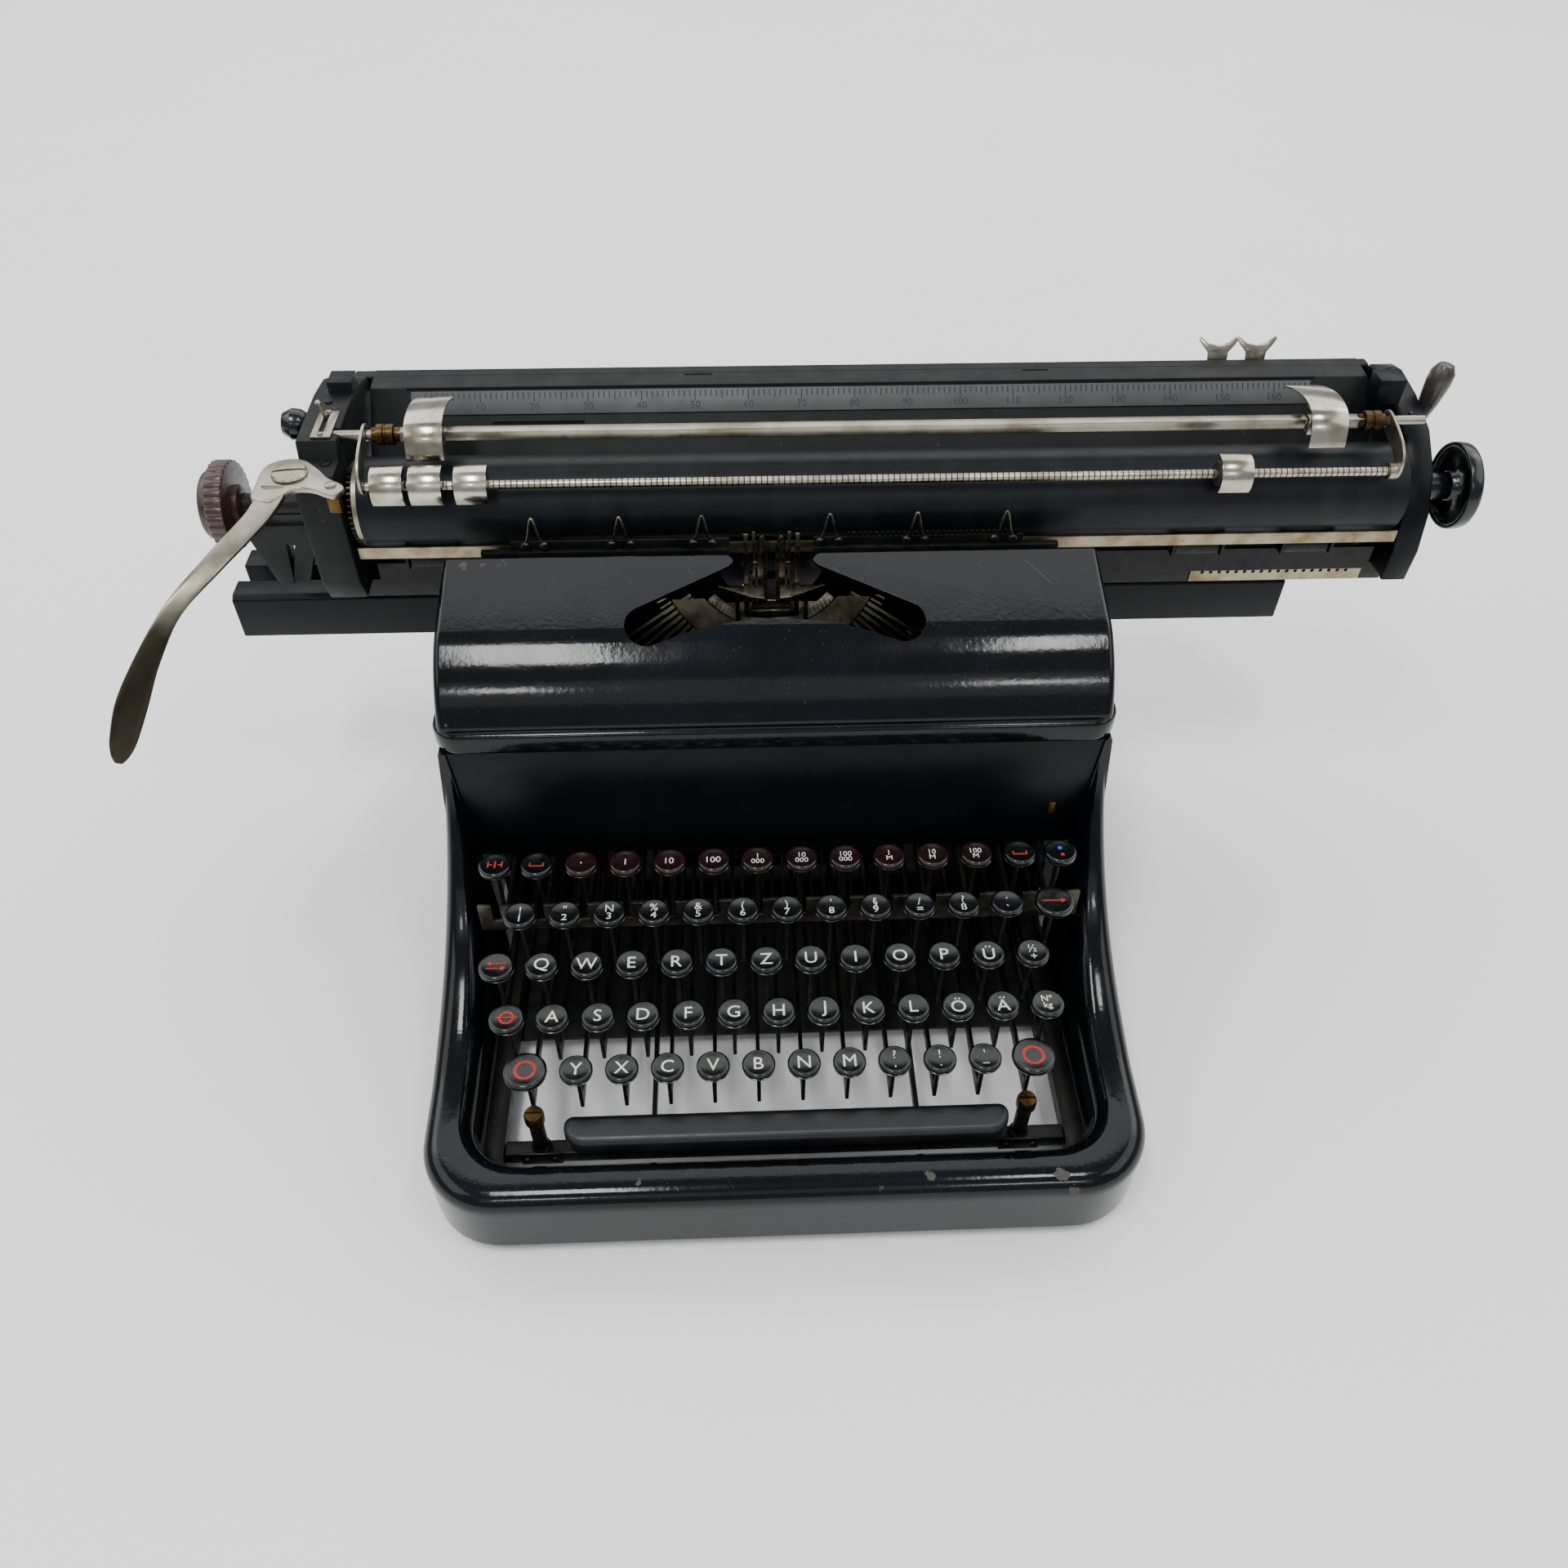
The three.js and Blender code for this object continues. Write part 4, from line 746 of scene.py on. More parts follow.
def makeKeys(node, legends):
    body = keyBody[node]
    radius = keyRadius.get(node, 7)
    low, high = boxOf(node)
    tilt = math.radians(keyShape["tilt"])
    first, last = low.x + radius, high.x - radius
    count = len(legends)
    step = (last - first) / (count - 1) if count > 1 else 0
    y = low.y + radius * math.cos(tilt)
    z = high.z - (radius - 0.9) * math.sin(tilt)
    fulcrum = high.y - keyShape["tube"]
    level = low.z + keyShape["leverHigh"] / 2
    r, d = radius, keyShape["dish"]
    cap = [(0, -d), (r * 0.3, -d * 0.9), (r * 0.55, -d * 0.66), (r * 0.72, -d * 0.3), (r * 0.82, -0.04),
           (r * 0.87, 0),
           (r * 0.93, -0.1), (r * 0.98, -0.5), (r, -1.1), (r * 0.985, -1.9), (r * 0.93, -2.1),
           (r * 0.93, -2.5),
           (r * 0.99, -2.7), (r * 0.96, -3.5), (r * 0.86, -4.0), (r * 0.5, -4.0)]
    under = [(r * 0.7, -3.9), (r * 0.48, -5.2), (r * 0.25, -6.6), (r * 0.17, -7.8), (0, -7.8)]
    tops, irons, white, red, blue = [], [], [], [], []
    for i, legend in enumerate(legends):
        x = first + step * i
        lean = Matrix.Translation((x, y, z)) @ Matrix.Rotation(-tilt, 4, "X")
        tops.append(moved(turned(cap + under[1:], (0, 0, 0), (0, 0, 1), 36), lean))
        stem = soften(block(x - 0.8, x + 0.8, y - 1.1, y + 1.1, level, z - keyShape["thick"] - 1), 0.25, 1)
        for vert in stem.verts:
            if vert.co.z < level + 8:
                vert.co.y = y + (vert.co.y - y) * 0.85
        half = keyShape["lever"] / 2
        rise = keyShape["leverHigh"] / 2
        bar = [(y - 1.2, level - rise), (fulcrum, level - rise), (fulcrum, level + rise),
               (y + 7, level + rise),
               (y + 1.4, level + rise + 3), (y - 1.2, level + rise + 3)]
        irons += [stem, soften(slab(bar, "x", x - half, x + half), 0.2, 1)]
        strokes = drawn(legend, "red") if isinstance(legend, list) else []
        marks = drawn(legend, "blue") if isinstance(legend, list) else []
        if isinstance(legend, str):
            lines = legend.split("\n")
            size = keyShape["letter"] if len(lines) == 1 and node != "tabulator_keys" else keyShape["small"]
            if len(lines) == 2 and len(lines[1]) < 2 and node != "tabulator_keys":
                size = 5.4
            elif node == "tabulator_keys":
                size = 3.9 if len(lines) > 1 else 4.8
            strokes = [lettering(legend, size * radius / 7)]
            for letter in strokes:
                lows = [min(v.co[k] for v in letter.verts) for k in (0, 1)]
                peaks = [max(v.co[k] for v in letter.verts) for k in (0, 1)]
                bmesh.ops.translate(letter, verts=letter.verts, vec=(
                    -(lows[0] + peaks[0]) / 2, -(lows[1] + peaks[1]) / 2, 0))
        for group, into in ((strokes, white if isinstance(legend, str) else red), (marks, blue)):
            for mark in group:
                for vert in mark.verts:  # the paint follows the dish
                    away = min(vert.co.xy.length / (r * 0.84), 1)
                    face = -d * (1 - away ** 2)
                    vert.co.z = face + (keyShape["legendLift"] + 0.03 if vert.co.z > 0 else -0.25)
                into.append(moved(mark, lean))
    axle = turned([(0, 0), (keyShape["tube"], 0), (keyShape["tube"], last - first + 6),
                   (0, last - first + 6)],
                  (first - 3, fulcrum, level), (1, 0, 0), 20)
    irons.append(axle)
    material, slot = (keyMaroon, "bakelite") if node == "tabulator_keys" else (keyMoulded, "key_black")
    piece(node + "_tops", joined(tops), body, slot, material, [node], sharp=48)
    piece(node + "_levers", joined(irons), body, "black_steel", steelJapanned)
    for colour, marks, paint in (("white", white, legendWhite), ("red", red, legendRed),
                                 ("blue", blue, legendBlue)):
        if marks:
            piece(node + "_legends_" + colour, joined(marks), body, slot, paint)


for node, legends in keyRows.items():
    makeKeys(node, legends)

spaceBar = {"deep": 13.5, "foot": 43, "high": 9, "arm": 57, "pivotY": 212, "pivotZ": 14.6, "pivotHalf": 4}


def makeSpaceBar():
    low, high = boxOf("space_bar")
    y = low.y
    plan = roundedRect(low.x, high.x, y, y + spaceBar["deep"], 9, 4, 8)
    bar = slab(plan, "z", spaceBar["foot"], spaceBar["foot"] + spaceBar["high"])
    top = [e for e in bar.edges if all(v.co.z > spaceBar["foot"] + 8 for v in e.verts)]
    bmesh.ops.bevel(bar, geom=top, offset=3.2, offset_type="OFFSET", segments=5, profile=0.5, affect="EDGES",
                    clamp_overlap=True, material=-1)
    piece("space_bar_top", bar, "space", "key_black", barLacquer, ["space_bar"], sharp=50)
    near, far = spaceBar["pivotY"] - spaceBar["pivotHalf"], spaceBar["pivotY"] + spaceBar["pivotHalf"]
    armTop = spaceBar["foot"] + 1
    arm = [(y + 4, 30), (near, 30), (near, 12), (far, 12), (far, 36), (y + 9, 36), (y + 9, armTop), (y + 4, armTop)]
    parts = [soften(slab(arm, "x", s * spaceBar["arm"] - 1, s * spaceBar["arm"] + 1), 0.3,
                    1) for s in (-1, 1)]
    long = 2 * spaceBar["arm"] + 6
    parts.append(turned([(0, 0), (2.4, 0), (2.4, long), (0, long)],
                        (-long / 2, spaceBar["pivotY"], spaceBar["pivotZ"]), (1, 0, 0), 20))
    piece("space_bar_arms", joined(parts), "space", "black_steel", steelJapanned)


makeSpaceBar()
print("keyboard made")


# ---- platen and knobs ----

platen = {"y": 265.3, "z": 201.7, "radius": 20.3, "shaft": 5, "knob": 20}


def makePlaten():
    low, high = boxOf("platen")
    left, right = -183.5, 291.0
    r, axis = platen["radius"], (0, platen["y"], platen["z"])
    roll = [(r - 3, left), (r - 0.5, left), (r, left + 0.5), (r, right - 0.5), (r - 0.5, right),
            (r - 3, right)]
    piece("platen_rubber", turned([(0, left + 0.1), *roll, (0, right - 0.1)], axis, (1, 0, 0), 96),
          "platen_roll", "rubber", rubberGround, ["platen"])
    steps = [(0, low.x + 1), (platen["shaft"], low.x + 1), (platen["shaft"], high.x - 1), (0, high.x - 1)]
    piece("platen_shaft", turned(steps, axis, (1, 0, 0), 40), "platen_roll", "black_steel", steelJapanned)
    ring = [(6, left - 2.6), (18.6, left - 2.6), (19.4, left - 2.2), (19.4, left + 0.4), (6, left + 0.4),
            (6, left - 2.6)]
    piece("platen_ring", turned(ring, axis, (1, 0, 0), 72), "platen_roll", "nickel", nickelRubbed)
    teeth = []
    for i in range(44):
        a = 2 * math.pi * i / 44
        teeth += [(17.2 * math.cos(a), 17.2 * math.sin(a)),
                  (18.9 * math.cos(a + 0.05), 18.9 * math.sin(a + 0.05)),
                  (18.9 * math.cos(a + 0.09), 18.9 * math.sin(a + 0.09))]
    wheel = slab([(platen["y"] + a, platen["z"] + b) for a, b in teeth], "x", left - 4.4, left - 2.7)
    piece("platen_ratchet", wheel, "platen_roll", "black_steel", steelOiled, sharp=20)


makePlaten()


def makeKnobs():
    axis = (platen["y"], platen["z"])
    low, high = boxOf("platen_knob_left")
    flutes, ring = 30, []
    for i in range(flutes * 6):  # rounded ribs round the gripping disc
        a = 2 * math.pi * i / (flutes * 6)
        r = platen["knob"] - 0.75 + 0.75 * abs(math.cos(a * flutes / 2)) ** 0.6 * 1.0
        ring.append((axis[0] + r * math.cos(a), axis[1] + r * math.sin(a)))
    grip = soften(slab(ring, "x", high.x - 8.2, high.x - 0.3), 0.9, 3, 60)
    disc = turned([(0, -13.8), (10, -13.8), (10.6, -13.5), (13.4, -13.5), (14.6, -13.1), (15.4, -12.2),
                   (15.6, -9.2), (15.6, -6), (0, -6)],
                  (high.x + 0.3, *axis), (1, 0, 0), 64)
    hub = turned([(5.3, -1), (9, -1), (9, 2.2), (8, 3), (5.3, 3)], (high.x, *axis), (1, 0, 0), 40)
    piece("knob_left_moulding", joined([grip, disc, hub]), "platen_roll", "bakelite", bakeliteBrown,
          ["platen_knob_left"], sharp=42)
    low, high = boxOf("platen_knob_right")
    r = platen["knob"]
    cup = [(0, 0.2), (6.2, 0.2), (6.9, 0.8), (7.2, 2.4), (8.6, 4.4), (11, 5.6), (15.6, 6.1), (17.2, 5.4),
           (17.6, 3.0),
           (17.9, 2.2), (18.6, 1.9), (19.4, 1.9), (19.9, 2.4), (r, 3.1), (r, 6.6), (19.6, 7.8),
           (18.8, 8.5), (17, 8.7), (0, 9)]
    piece("knob_right_moulding", turned(cup, (low.x - 0.3, *axis), (1, 0, 0), 72), "platen_roll",
          "key_black", keyMoulded, ["platen_knob_right"], sharp=50)
    # The shaft is sleeved between the plate and the knob.
    sleeve = [(4.6, 0), (6.4, 0), (6.4, low.x - 307.4), (4.6, low.x - 307.4), (4.6, 0)]
    piece("shaft_sleeve", turned(sleeve, (307.0, *axis), (1, 0, 0), 40), "platen_roll", "key_black",
          keyMoulded)


makeKnobs()
print("platen made")


# ---- bars, rollers and guides over the platen ----

def ribbon(path, axis, start, end, thick):  # a strip of sheet bent along a path
    bm = bmesh.new()
    verts = [bm.verts.new(p) for p in flat(path, axis, start)]
    edges = [bm.edges.new(pair) for pair in zip(verts, verts[1:])]
    grown = bmesh.ops.extrude_edge_only(bm, edges=edges)["geom"]
    way = Vector([(end - start) if a == axis else 0 for a in "xyz"])
    bmesh.ops.translate(bm, verts=[g for g in grown if isVert(g)], vec=way)
    bmesh.ops.recalc_face_normals(bm, faces=bm.faces)
    bmesh.ops.solidify(bm, geom=bm.faces[:] + bm.edges[:] + bm.verts[:], thickness=thick)
    bmesh.ops.recalc_face_normals(bm, faces=bm.faces)
    return bm


def path2(points, steps=6):
    return [(p.x, p.y) for p in smoothPath([(*q, 0) for q in points], steps)]


paperBar = {"y": 269, "z": 234, "size": 5}
bail = {"y": 246.5, "z": 222, "rod": 2, "tuckLeft": 9, "tuckRight": 13}


def makeBars():
    y, z, half = paperBar["y"], paperBar["z"], paperBar["size"] / 2
    low, high = boxOf("upper_bar")
    bar = soften(block(-164, 271, y - half, y + half, z - half, z + half), 0.6, 3)
    ends = turned([(0, low.x), (2.2, low.x), (2.2, high.x), (0, high.x)], (0, y, z), (1, 0, 0), 32)
    piece("paper_bar", joined([bar, ends]), "carriage", "nickel", nickelRubbed, ["upper_bar"])
    collars = []
    for x in (-175, 266):
        collars.append(turned([(2.4, 0), (3.2, 0), (3.2, 2), (4.6, 2.3), (4.6, 5), (4.0, 5.4), (4.0, 6),
                               (4.6, 6.4), (4.6, 9.6),
                               (3.2, 10), (3.2, 12), (2.4, 12), (2.4, 0)], (x, y, z), (1, 0, 0), 40))
    piece("paper_bar_collars", joined(collars), "carriage", "brass", brassTarnished, sharp=30)
    low, high = boxOf("paper_bail")
    left, right = low.x + bail["tuckLeft"], high.x - bail["tuckRight"]
    rod = turned([(0, left + 0.5), (bail["rod"], left + 0.5), (bail["rod"], right - 0.5), (0, right - 0.5)],
                 (0, bail["y"], bail["z"]), (1, 0, 0), 40)
    arm = path2([(y + 4.4, z), (y + 3.2, z + 3.8), (y - 2, z + 5), (bail["y"] + 8, z + 2.2),
                 (bail["y"], z - 1.5), (bail["y"] - 3.2, z - 6),
                 (bail["y"] - 3.4, z - 12), (bail["y"] - 1, z - 15.4), (bail["y"] + 2.6, z - 13),
                 (bail["y"] + 3, z - 9), (y - 11, z - 6),
                 (y - 2, z - 4.2), (y + 3, z - 3.2)], 4)
    hole = turned([(0, 0), (2.9, 0), (2.9, 30), (0, 30)], (0, y, z), (1, 0, 0), 24)
    arms = []
    for x in (left, right - 1.3):
        tool = moved(hole.copy(), Matrix.Translation((x - 15, 0, 0)))
        arms.append(soften(cut(slab(arm, "x", x, x + 1.3), [tool]), 0.25, 2, 50))
    hole.free()
    # A collar on the rod beside the right arm.
    collar = [(2.0, 0), (3.6, 0), (3.6, 3.2), (2.9, 3.4), (2.0, 3.4), (2.0, 0)]
    arms.append(turned(collar, (right - 4.6, bail["y"], bail["z"]), (1, 0, 0), 28))
    piece("bail_rod", rod, "bail", "nickel", nickelGraduated, ["paper_bail"])
    piece("bail_arms", joined(arms), "bail", "nickel", nickelRubbed)


def graduated():
    # The same nickel plate, with a line engraved at each character and filled with dark ink.
    material, tree, shader, where = startMaterial("nickelGraduated", {"Metallic": 1.0, "Roughness": 0.3})
    axes = addNode(tree, "ShaderNodeSeparateXYZ", None, {0: where})
    beat = addNode(tree, "ShaderNodeMath", {"operation": "MULTIPLY", 1: 1 / (characterPitch * mm)},
                   {0: axes.outputs[0]})
    part = addNode(tree, "ShaderNodeMath", {"operation": "FRACT"}, {0: beat.outputs[0]}).outputs[0]
    line = ramp(tree, part, 0.24, 0.2)
    base = blendColour(tree, ramp(tree, noise(tree, where, 12, 4.0), 0.4, 0.7), "#b9b3a4", "#8d8573")
    tree.links.new(blendColour(tree, line, base, "#4a443a"), shader.inputs["Base Color"])
    tree.links.new(ramp(tree, noise(tree, where, 5), 0.3, 0.7, 0.22, 0.42), shader.inputs["Roughness"])
    bump(tree, shader, line, 0.05, 0.6)
    return material


nickelGraduated = graduated()
makeBars()

roller = {"wide": 14, "shield": 8.6}


def makeRoller(node, body):
    low, high = boxOf(node)
    x0, x1 = low.x, high.x
    y, z, r = bail["y"], bail["z"], roller["shield"]
    arc = arcPoints(y, z, r - 0.5, 72, 196, 22)
    arc += [(y - r + 1.6, z - 4.3), (y - r + 3.4, z - 4.6)]
    shield = soften(ribbon(arc, "x", x0, x1, -0.9), 0.22, 2, 50)
    cheek = slab([(y - r + 1, z - 3.6)] + arcPoints(y, z, 3.4, 200, 20, 10) + arcPoints(y, z, r - 1, 80,
        190, 14), "x", x1 - 1.1, x1 - 0.3)
    bore = turned([(0, 0), (2.3, 0), (2.3, 40), (0, 40)], (x0 - 15, y, z), (1, 0, 0), 24)
    cheek = cut(cheek, [bore])
    piece(node + "_shield", joined([shield, cheek]), body, "nickel", nickelPlated, [node], sharp=40)
    drum = turned([(2.3, 0.4), (5.2, 0.4), (5.4, 0.8), (5.4, roller["wide"] - 2.2),
                   (5.2, roller["wide"] - 1.8), (2.3, roller["wide"] - 1.8), (2.3, 0.4)],
                  (x0, y, z), (1, 0, 0), 40)
    piece(node + "_drum", drum, body, "rubber", rubberFoot)


for i in range(1, 5):
    makeRoller(f"bail_roller_{i}", f"roller_{i}")


def makeGuide(node, body):
    low, high = boxOf(node)
    sheet = path2([(298.8, 235.7), (290, 239.4), (280, 242.3), (271, 243), (264, 241.6), (259.6, 237.6),
                   (257.2, 232), (256.2, 228.2)], 5)
    top = soften(ribbon(sheet, "x", low.x, high.x, 0.9), 0.25, 2, 50)
    y, z, half = paperBar["y"], paperBar["z"], paperBar["size"] / 2 + 0.4
    sleeve = slab([(y - 4.1, z - 4.4), (y + 4.1, z - 4.4), (y + 4.1, z + 7), (y - 4.1, z + 6.4)], "x",
                  low.x + 1, high.x - 1)
    sleeve = cut(sleeve, [block(low.x - 2, high.x + 2, y - half, y + half, z - half, z + half)])
    piece(node + "_sheet", joined([top, soften(sleeve, 0.3, 1)]), body, "nickel", nickelPlated, [node],
          sharp=40)


makeGuide("paper_guide_left", "guide_left")
makeGuide("paper_guide_right", "guide_right")
print("bars and rollers made")


# ---- line-space lever ----

lever = {
    "x": -206, "y": 243, "z": 229, "thick": 2.8,
    # distance from the pivot in x and y, height, half width, and lean of the blade in degrees
    "blade": [(-4, -10, 230.5, 6.2, 0), (-7, -28, 229, 5.2, 6), (-20, -54, 224, 4.3, 20),
              (-33, -73, 216, 3.6, 40),
              (-41.5, -89, 205, 4.6, 58), (-48, -102, 193, 6.0, 62), (-52.6, -110, 182, 5.2, 62),
              (-55.2, -113.2, 176, 3.6, 62), (-56.6, -114.6, 172.6, 1.5, 62)],
}


def makeLever():
    x, y, z, thick = lever["x"], lever["y"], lever["z"], lever["thick"]
    head = [(-12.4, -8), (-12.6, 0), (-10.6, 7), (-4, 11), (4, 10.2), (11.5, 3), (17, -4), (24, -9.4),
            (25.2, -13.2), (22.2, -17.4),
            (18.6, -16.4), (12, -12.6), (5, -12.2), (0.2, -17), (-4, -22), (-12, -18)]
    ring = smoothPath([(*p, 0) for p in head + head[:1]], 4)[:-1]
    plate = soften(slab([(x + p.x, y + p.y) for p in ring], "z", z, z + thick), 0.7, 3, 50)
    blade = bmesh.new()
    stations = smoothPath([Vector(p[:3]) for p in lever["blade"]], 6)
    widths = smoothPath([(p[3], p[4], 0) for p in lever["blade"]], 6)
    rings = []
    for i, (spot, size) in enumerate(zip(stations, widths)):
        ahead = (stations[min(i + 1, len(stations) - 1)] - stations[max(i - 1, 0)]).normalized()
        side = ahead.cross(Vector((0, 0, 1))).normalized()
        up = side.cross(ahead)
        lean = math.radians(size.y)
        across = side * math.cos(lean) + up * math.sin(lean)
        over = up * math.cos(lean) - side * math.sin(lean)
        centre = Vector((x, y, 0)) + spot
        half = size.x
        low = 1.3 if i < 6 else 0.95
        rings.append([blade.verts.new(centre + across * a + over * b) for a, b in (
            (-half, -low), (-half, low), (-half * 0.5, low * 1.15), (half * 0.5, low * 1.15), (half, low),
            (half, -low))])
    for loop in rings:
        for a, b in zip(loop, loop[1:] + loop[:1]):
            if not blade.edges.get((a, b)):
                blade.edges.new((a, b))
    for one, two in zip(rings, rings[1:]):
        edges = [blade.edges.get(pair) for loop in (one, two) for pair in zip(loop, loop[1:] + loop[:1])]
        bmesh.ops.bridge_loops(blade, edges=edges)
    bmesh.ops.holes_fill(blade, edges=[e for e in blade.edges if e.is_boundary], sides=8)
    bmesh.ops.recalc_face_normals(blade, faces=blade.faces)
    soften(blade, 0.5, 2, 50)
    piece("lever_plate", plate, "return_lever", "nickel", nickelRubbed, ["line_space_lever"], sharp=42)
    piece("lever_blade", blade, "return_lever", "nickel", nickelShadedEnd, sharp=42)
    top = z + thick
    screw = turned([(0, 0), (7.2, 0), (7.6, 0.4), (7.6, 1.1), (6.9, 1.9), (4.5, 2.3), (0, 2.4)],
                   (x + 0.4, y - 1.5, top - 0.1), (0, 0, 1), 56)
    slot = moved(block(-9, 9, -0.75, 0.75, 1.2, 4),
                 Matrix.Translation((x + 0.4, y - 1.5, top - 0.1)) @ Matrix.Rotation(0.12, 4, "Z"))
    rivet = turned([(0, 0), (2.6, 0), (2.4, 0.8), (1.4, 1.3), (0, 1.4)], (x + 19.5, y - 10.6, top - 0.1),
                   (0, 0, 1), 32)
    piece("lever_screw", joined([cut(screw, [slot]), rivet]), "return_lever", "nickel", nickelRubbed,
          sharp=36)
    stub = soften(block(x + 18.4, x + 23.6, y - 16.8, y - 12.8, z - 7, z + 0.2), 0.5, 2)
    piece("lever_stub", stub, "return_lever", "brass", brassTarnished)


makeLever()
print("lever made")


# ---- paper table with its scale ----

table = {
    "left": -187.5, "right": 292, "back": 338, "ledgeFront": 331.3, "clips": (222.6, 241.4),
    "scaleFoot": (312.4, 218.3), "scaleTop": (319.9, 226.5), "scaleLeft": -168, "scaleRight": 263.5,
    "ten": -135.5, "step": characterPitch, "last": 167,
}


def onSlope(x, up, out):  # a place on the scale: along the machine, up the slope, and out of it
    (y0, z0), (y1, z1) = table["scaleFoot"], table["scaleTop"]
    angle = math.atan2(z1 - z0, y1 - y0)
    return Matrix.Translation((x, y0, z0)) @ Matrix.Rotation(angle, 4, "X") @ Matrix.Translation((0, up, out))


def makeTable():
    left, right, back = table["left"], table["right"], table["back"]
    sheet = [(290, 196), (317.5, 223), (321, 228), (back, 228.5), (back, 182), (back - 2, 182),
             (back - 2, 226.5), (322, 226),
             (318.6, 221.6), (291.5, 194.5)]
    body = soften(slab(sheet, "x", left, right), 0.5, 3)
    ledge = soften(block(left - 9.5, right + 4.5, table["ledgeFront"], back, 221, 228.5), 1.2, 4)
    ribs = [soften(block(x - 1, x + 1, 322, back - 2, 184, 226), 0.4, 1) for x in (left + 3, -20, 130,
        right - 3)]
    piece("paper_table_sheet", joined([body, ledge] + ribs), "carriage", "crackle_paint", paintMatte,
          ["paper_table"], sharp=32)
    lows, highs = table["scaleFoot"], table["scaleTop"]
    tall = math.dist(lows, highs)
    length = table["scaleRight"] - table["scaleLeft"]
    plate = soften(moved(block(0, length, 0, tall, 0, 0.7), onSlope(table["scaleLeft"], 0, 0)), 0.2, 2)
    piece("table_scale_plate", plate, "carriage", "crackle_paint", paintScale)
    ink = []
    for i in range(table["last"] + 1):
        x = table["ten"] + (i - 10) * table["step"]
        long = 4.6 if i % 10 == 0 else 3.6 if i % 5 == 0 else 2.9
        ink.append(moved(block(-0.28, 0.28, tall - 0.9 - long, tall - 0.9, 0.6, 0.76), onSlope(x, 0, 0)))
    for i in range(10, 170, 10):
        ink.append(moved(lettering(str(i), 5.0, 0.08),
                         onSlope(table["ten"] + (i - 10) * table["step"], 3.3, 0.7)))
    piece("table_scale_marks", joined(ink), "carriage", "crackle_paint", scaleInk)
    # Painted shadow: thin near-black blocks in the slots and in the groove behind the scale stand in for the shade
    # that falls inside them.
    slotShadows = [block(-130, -87, 309.2, 311.4, 213.4, 216.8), block(-39, -25.8, 330.2, 333.4, 227, 228.62),
             block(125, 137.2, 330.2, 333.4, 227, 228.62),
             block(table["scaleLeft"] - 2, table["scaleRight"] + 2, 320.2, 321.4, 226.9, 228.4)]
    piece("table_slot_shadows", joined(slotShadows), "carriage", "crackle_paint", slotShadowPaint)
    wings = [(-5, 221), (5, 221), (4.4, 228), (4.6, 231.5), (7.2, 234.6), (9.0, 237.2), (8.0, 238.2),
             (4.4, 235.4), (0, 234.2),
             (-4.4, 235.4), (-8.0, 238.2), (-9.0, 237.2), (-7.2, 234.6), (-4.6, 231.5), (-4.4, 228)]
    clips = []
    for x in table["clips"]:
        shape = soften(slab([(x + a * 1.13, b) for a, b in wings], "y", 338.15, 339.15), 0.3, 2, 50)
        for vert in shape.verts:  # the wings curl back
            vert.co.y += 0.12 * max(vert.co.z - 227, 0) ** 1.5
        clips.append(shape)
        clips.append(turned([(0, 0), (1.3, 0), (1.1, 0.6), (0, 0.8)], (x, 339.1, 224.5), (0, 1, 0), 20))
    piece("table_clips", joined(clips), "carriage", "nickel", nickelPlated)


# Charcoal paint on the scale, a little lighter than the table and rubbed smooth.
paintScale = finish("paintScaleGrey", {
    "colour": "#33383a", "worn": "#3d4243", "rough": (0.42, 0.56), "blotch": 20, "grain": (0.5, 0.015)})
makeTable()


# ---- fittings on the carriage ----

def screwHead(x, y, z, radius, way=(0, 0, 1), turn=0.4):
    head = turned([(0, 0), (radius, 0), (radius, 0.5), (radius * 0.86, 1.0), (0, 1.15)], (0, 0, 0),
                  (0, 0, 1), 28)
    slot = moved(block(-radius * 1.2, radius * 1.2, -radius * 0.13, radius * 0.13, 0.55, 2),
                 Matrix.Rotation(turn, 4, "Z"))
    aim = Vector((0, 0, 1)).rotation_difference(Vector(way)).to_matrix().to_4x4()
    return moved(cut(head, [slot]), Matrix.Translation((x, y, z)) @ aim)


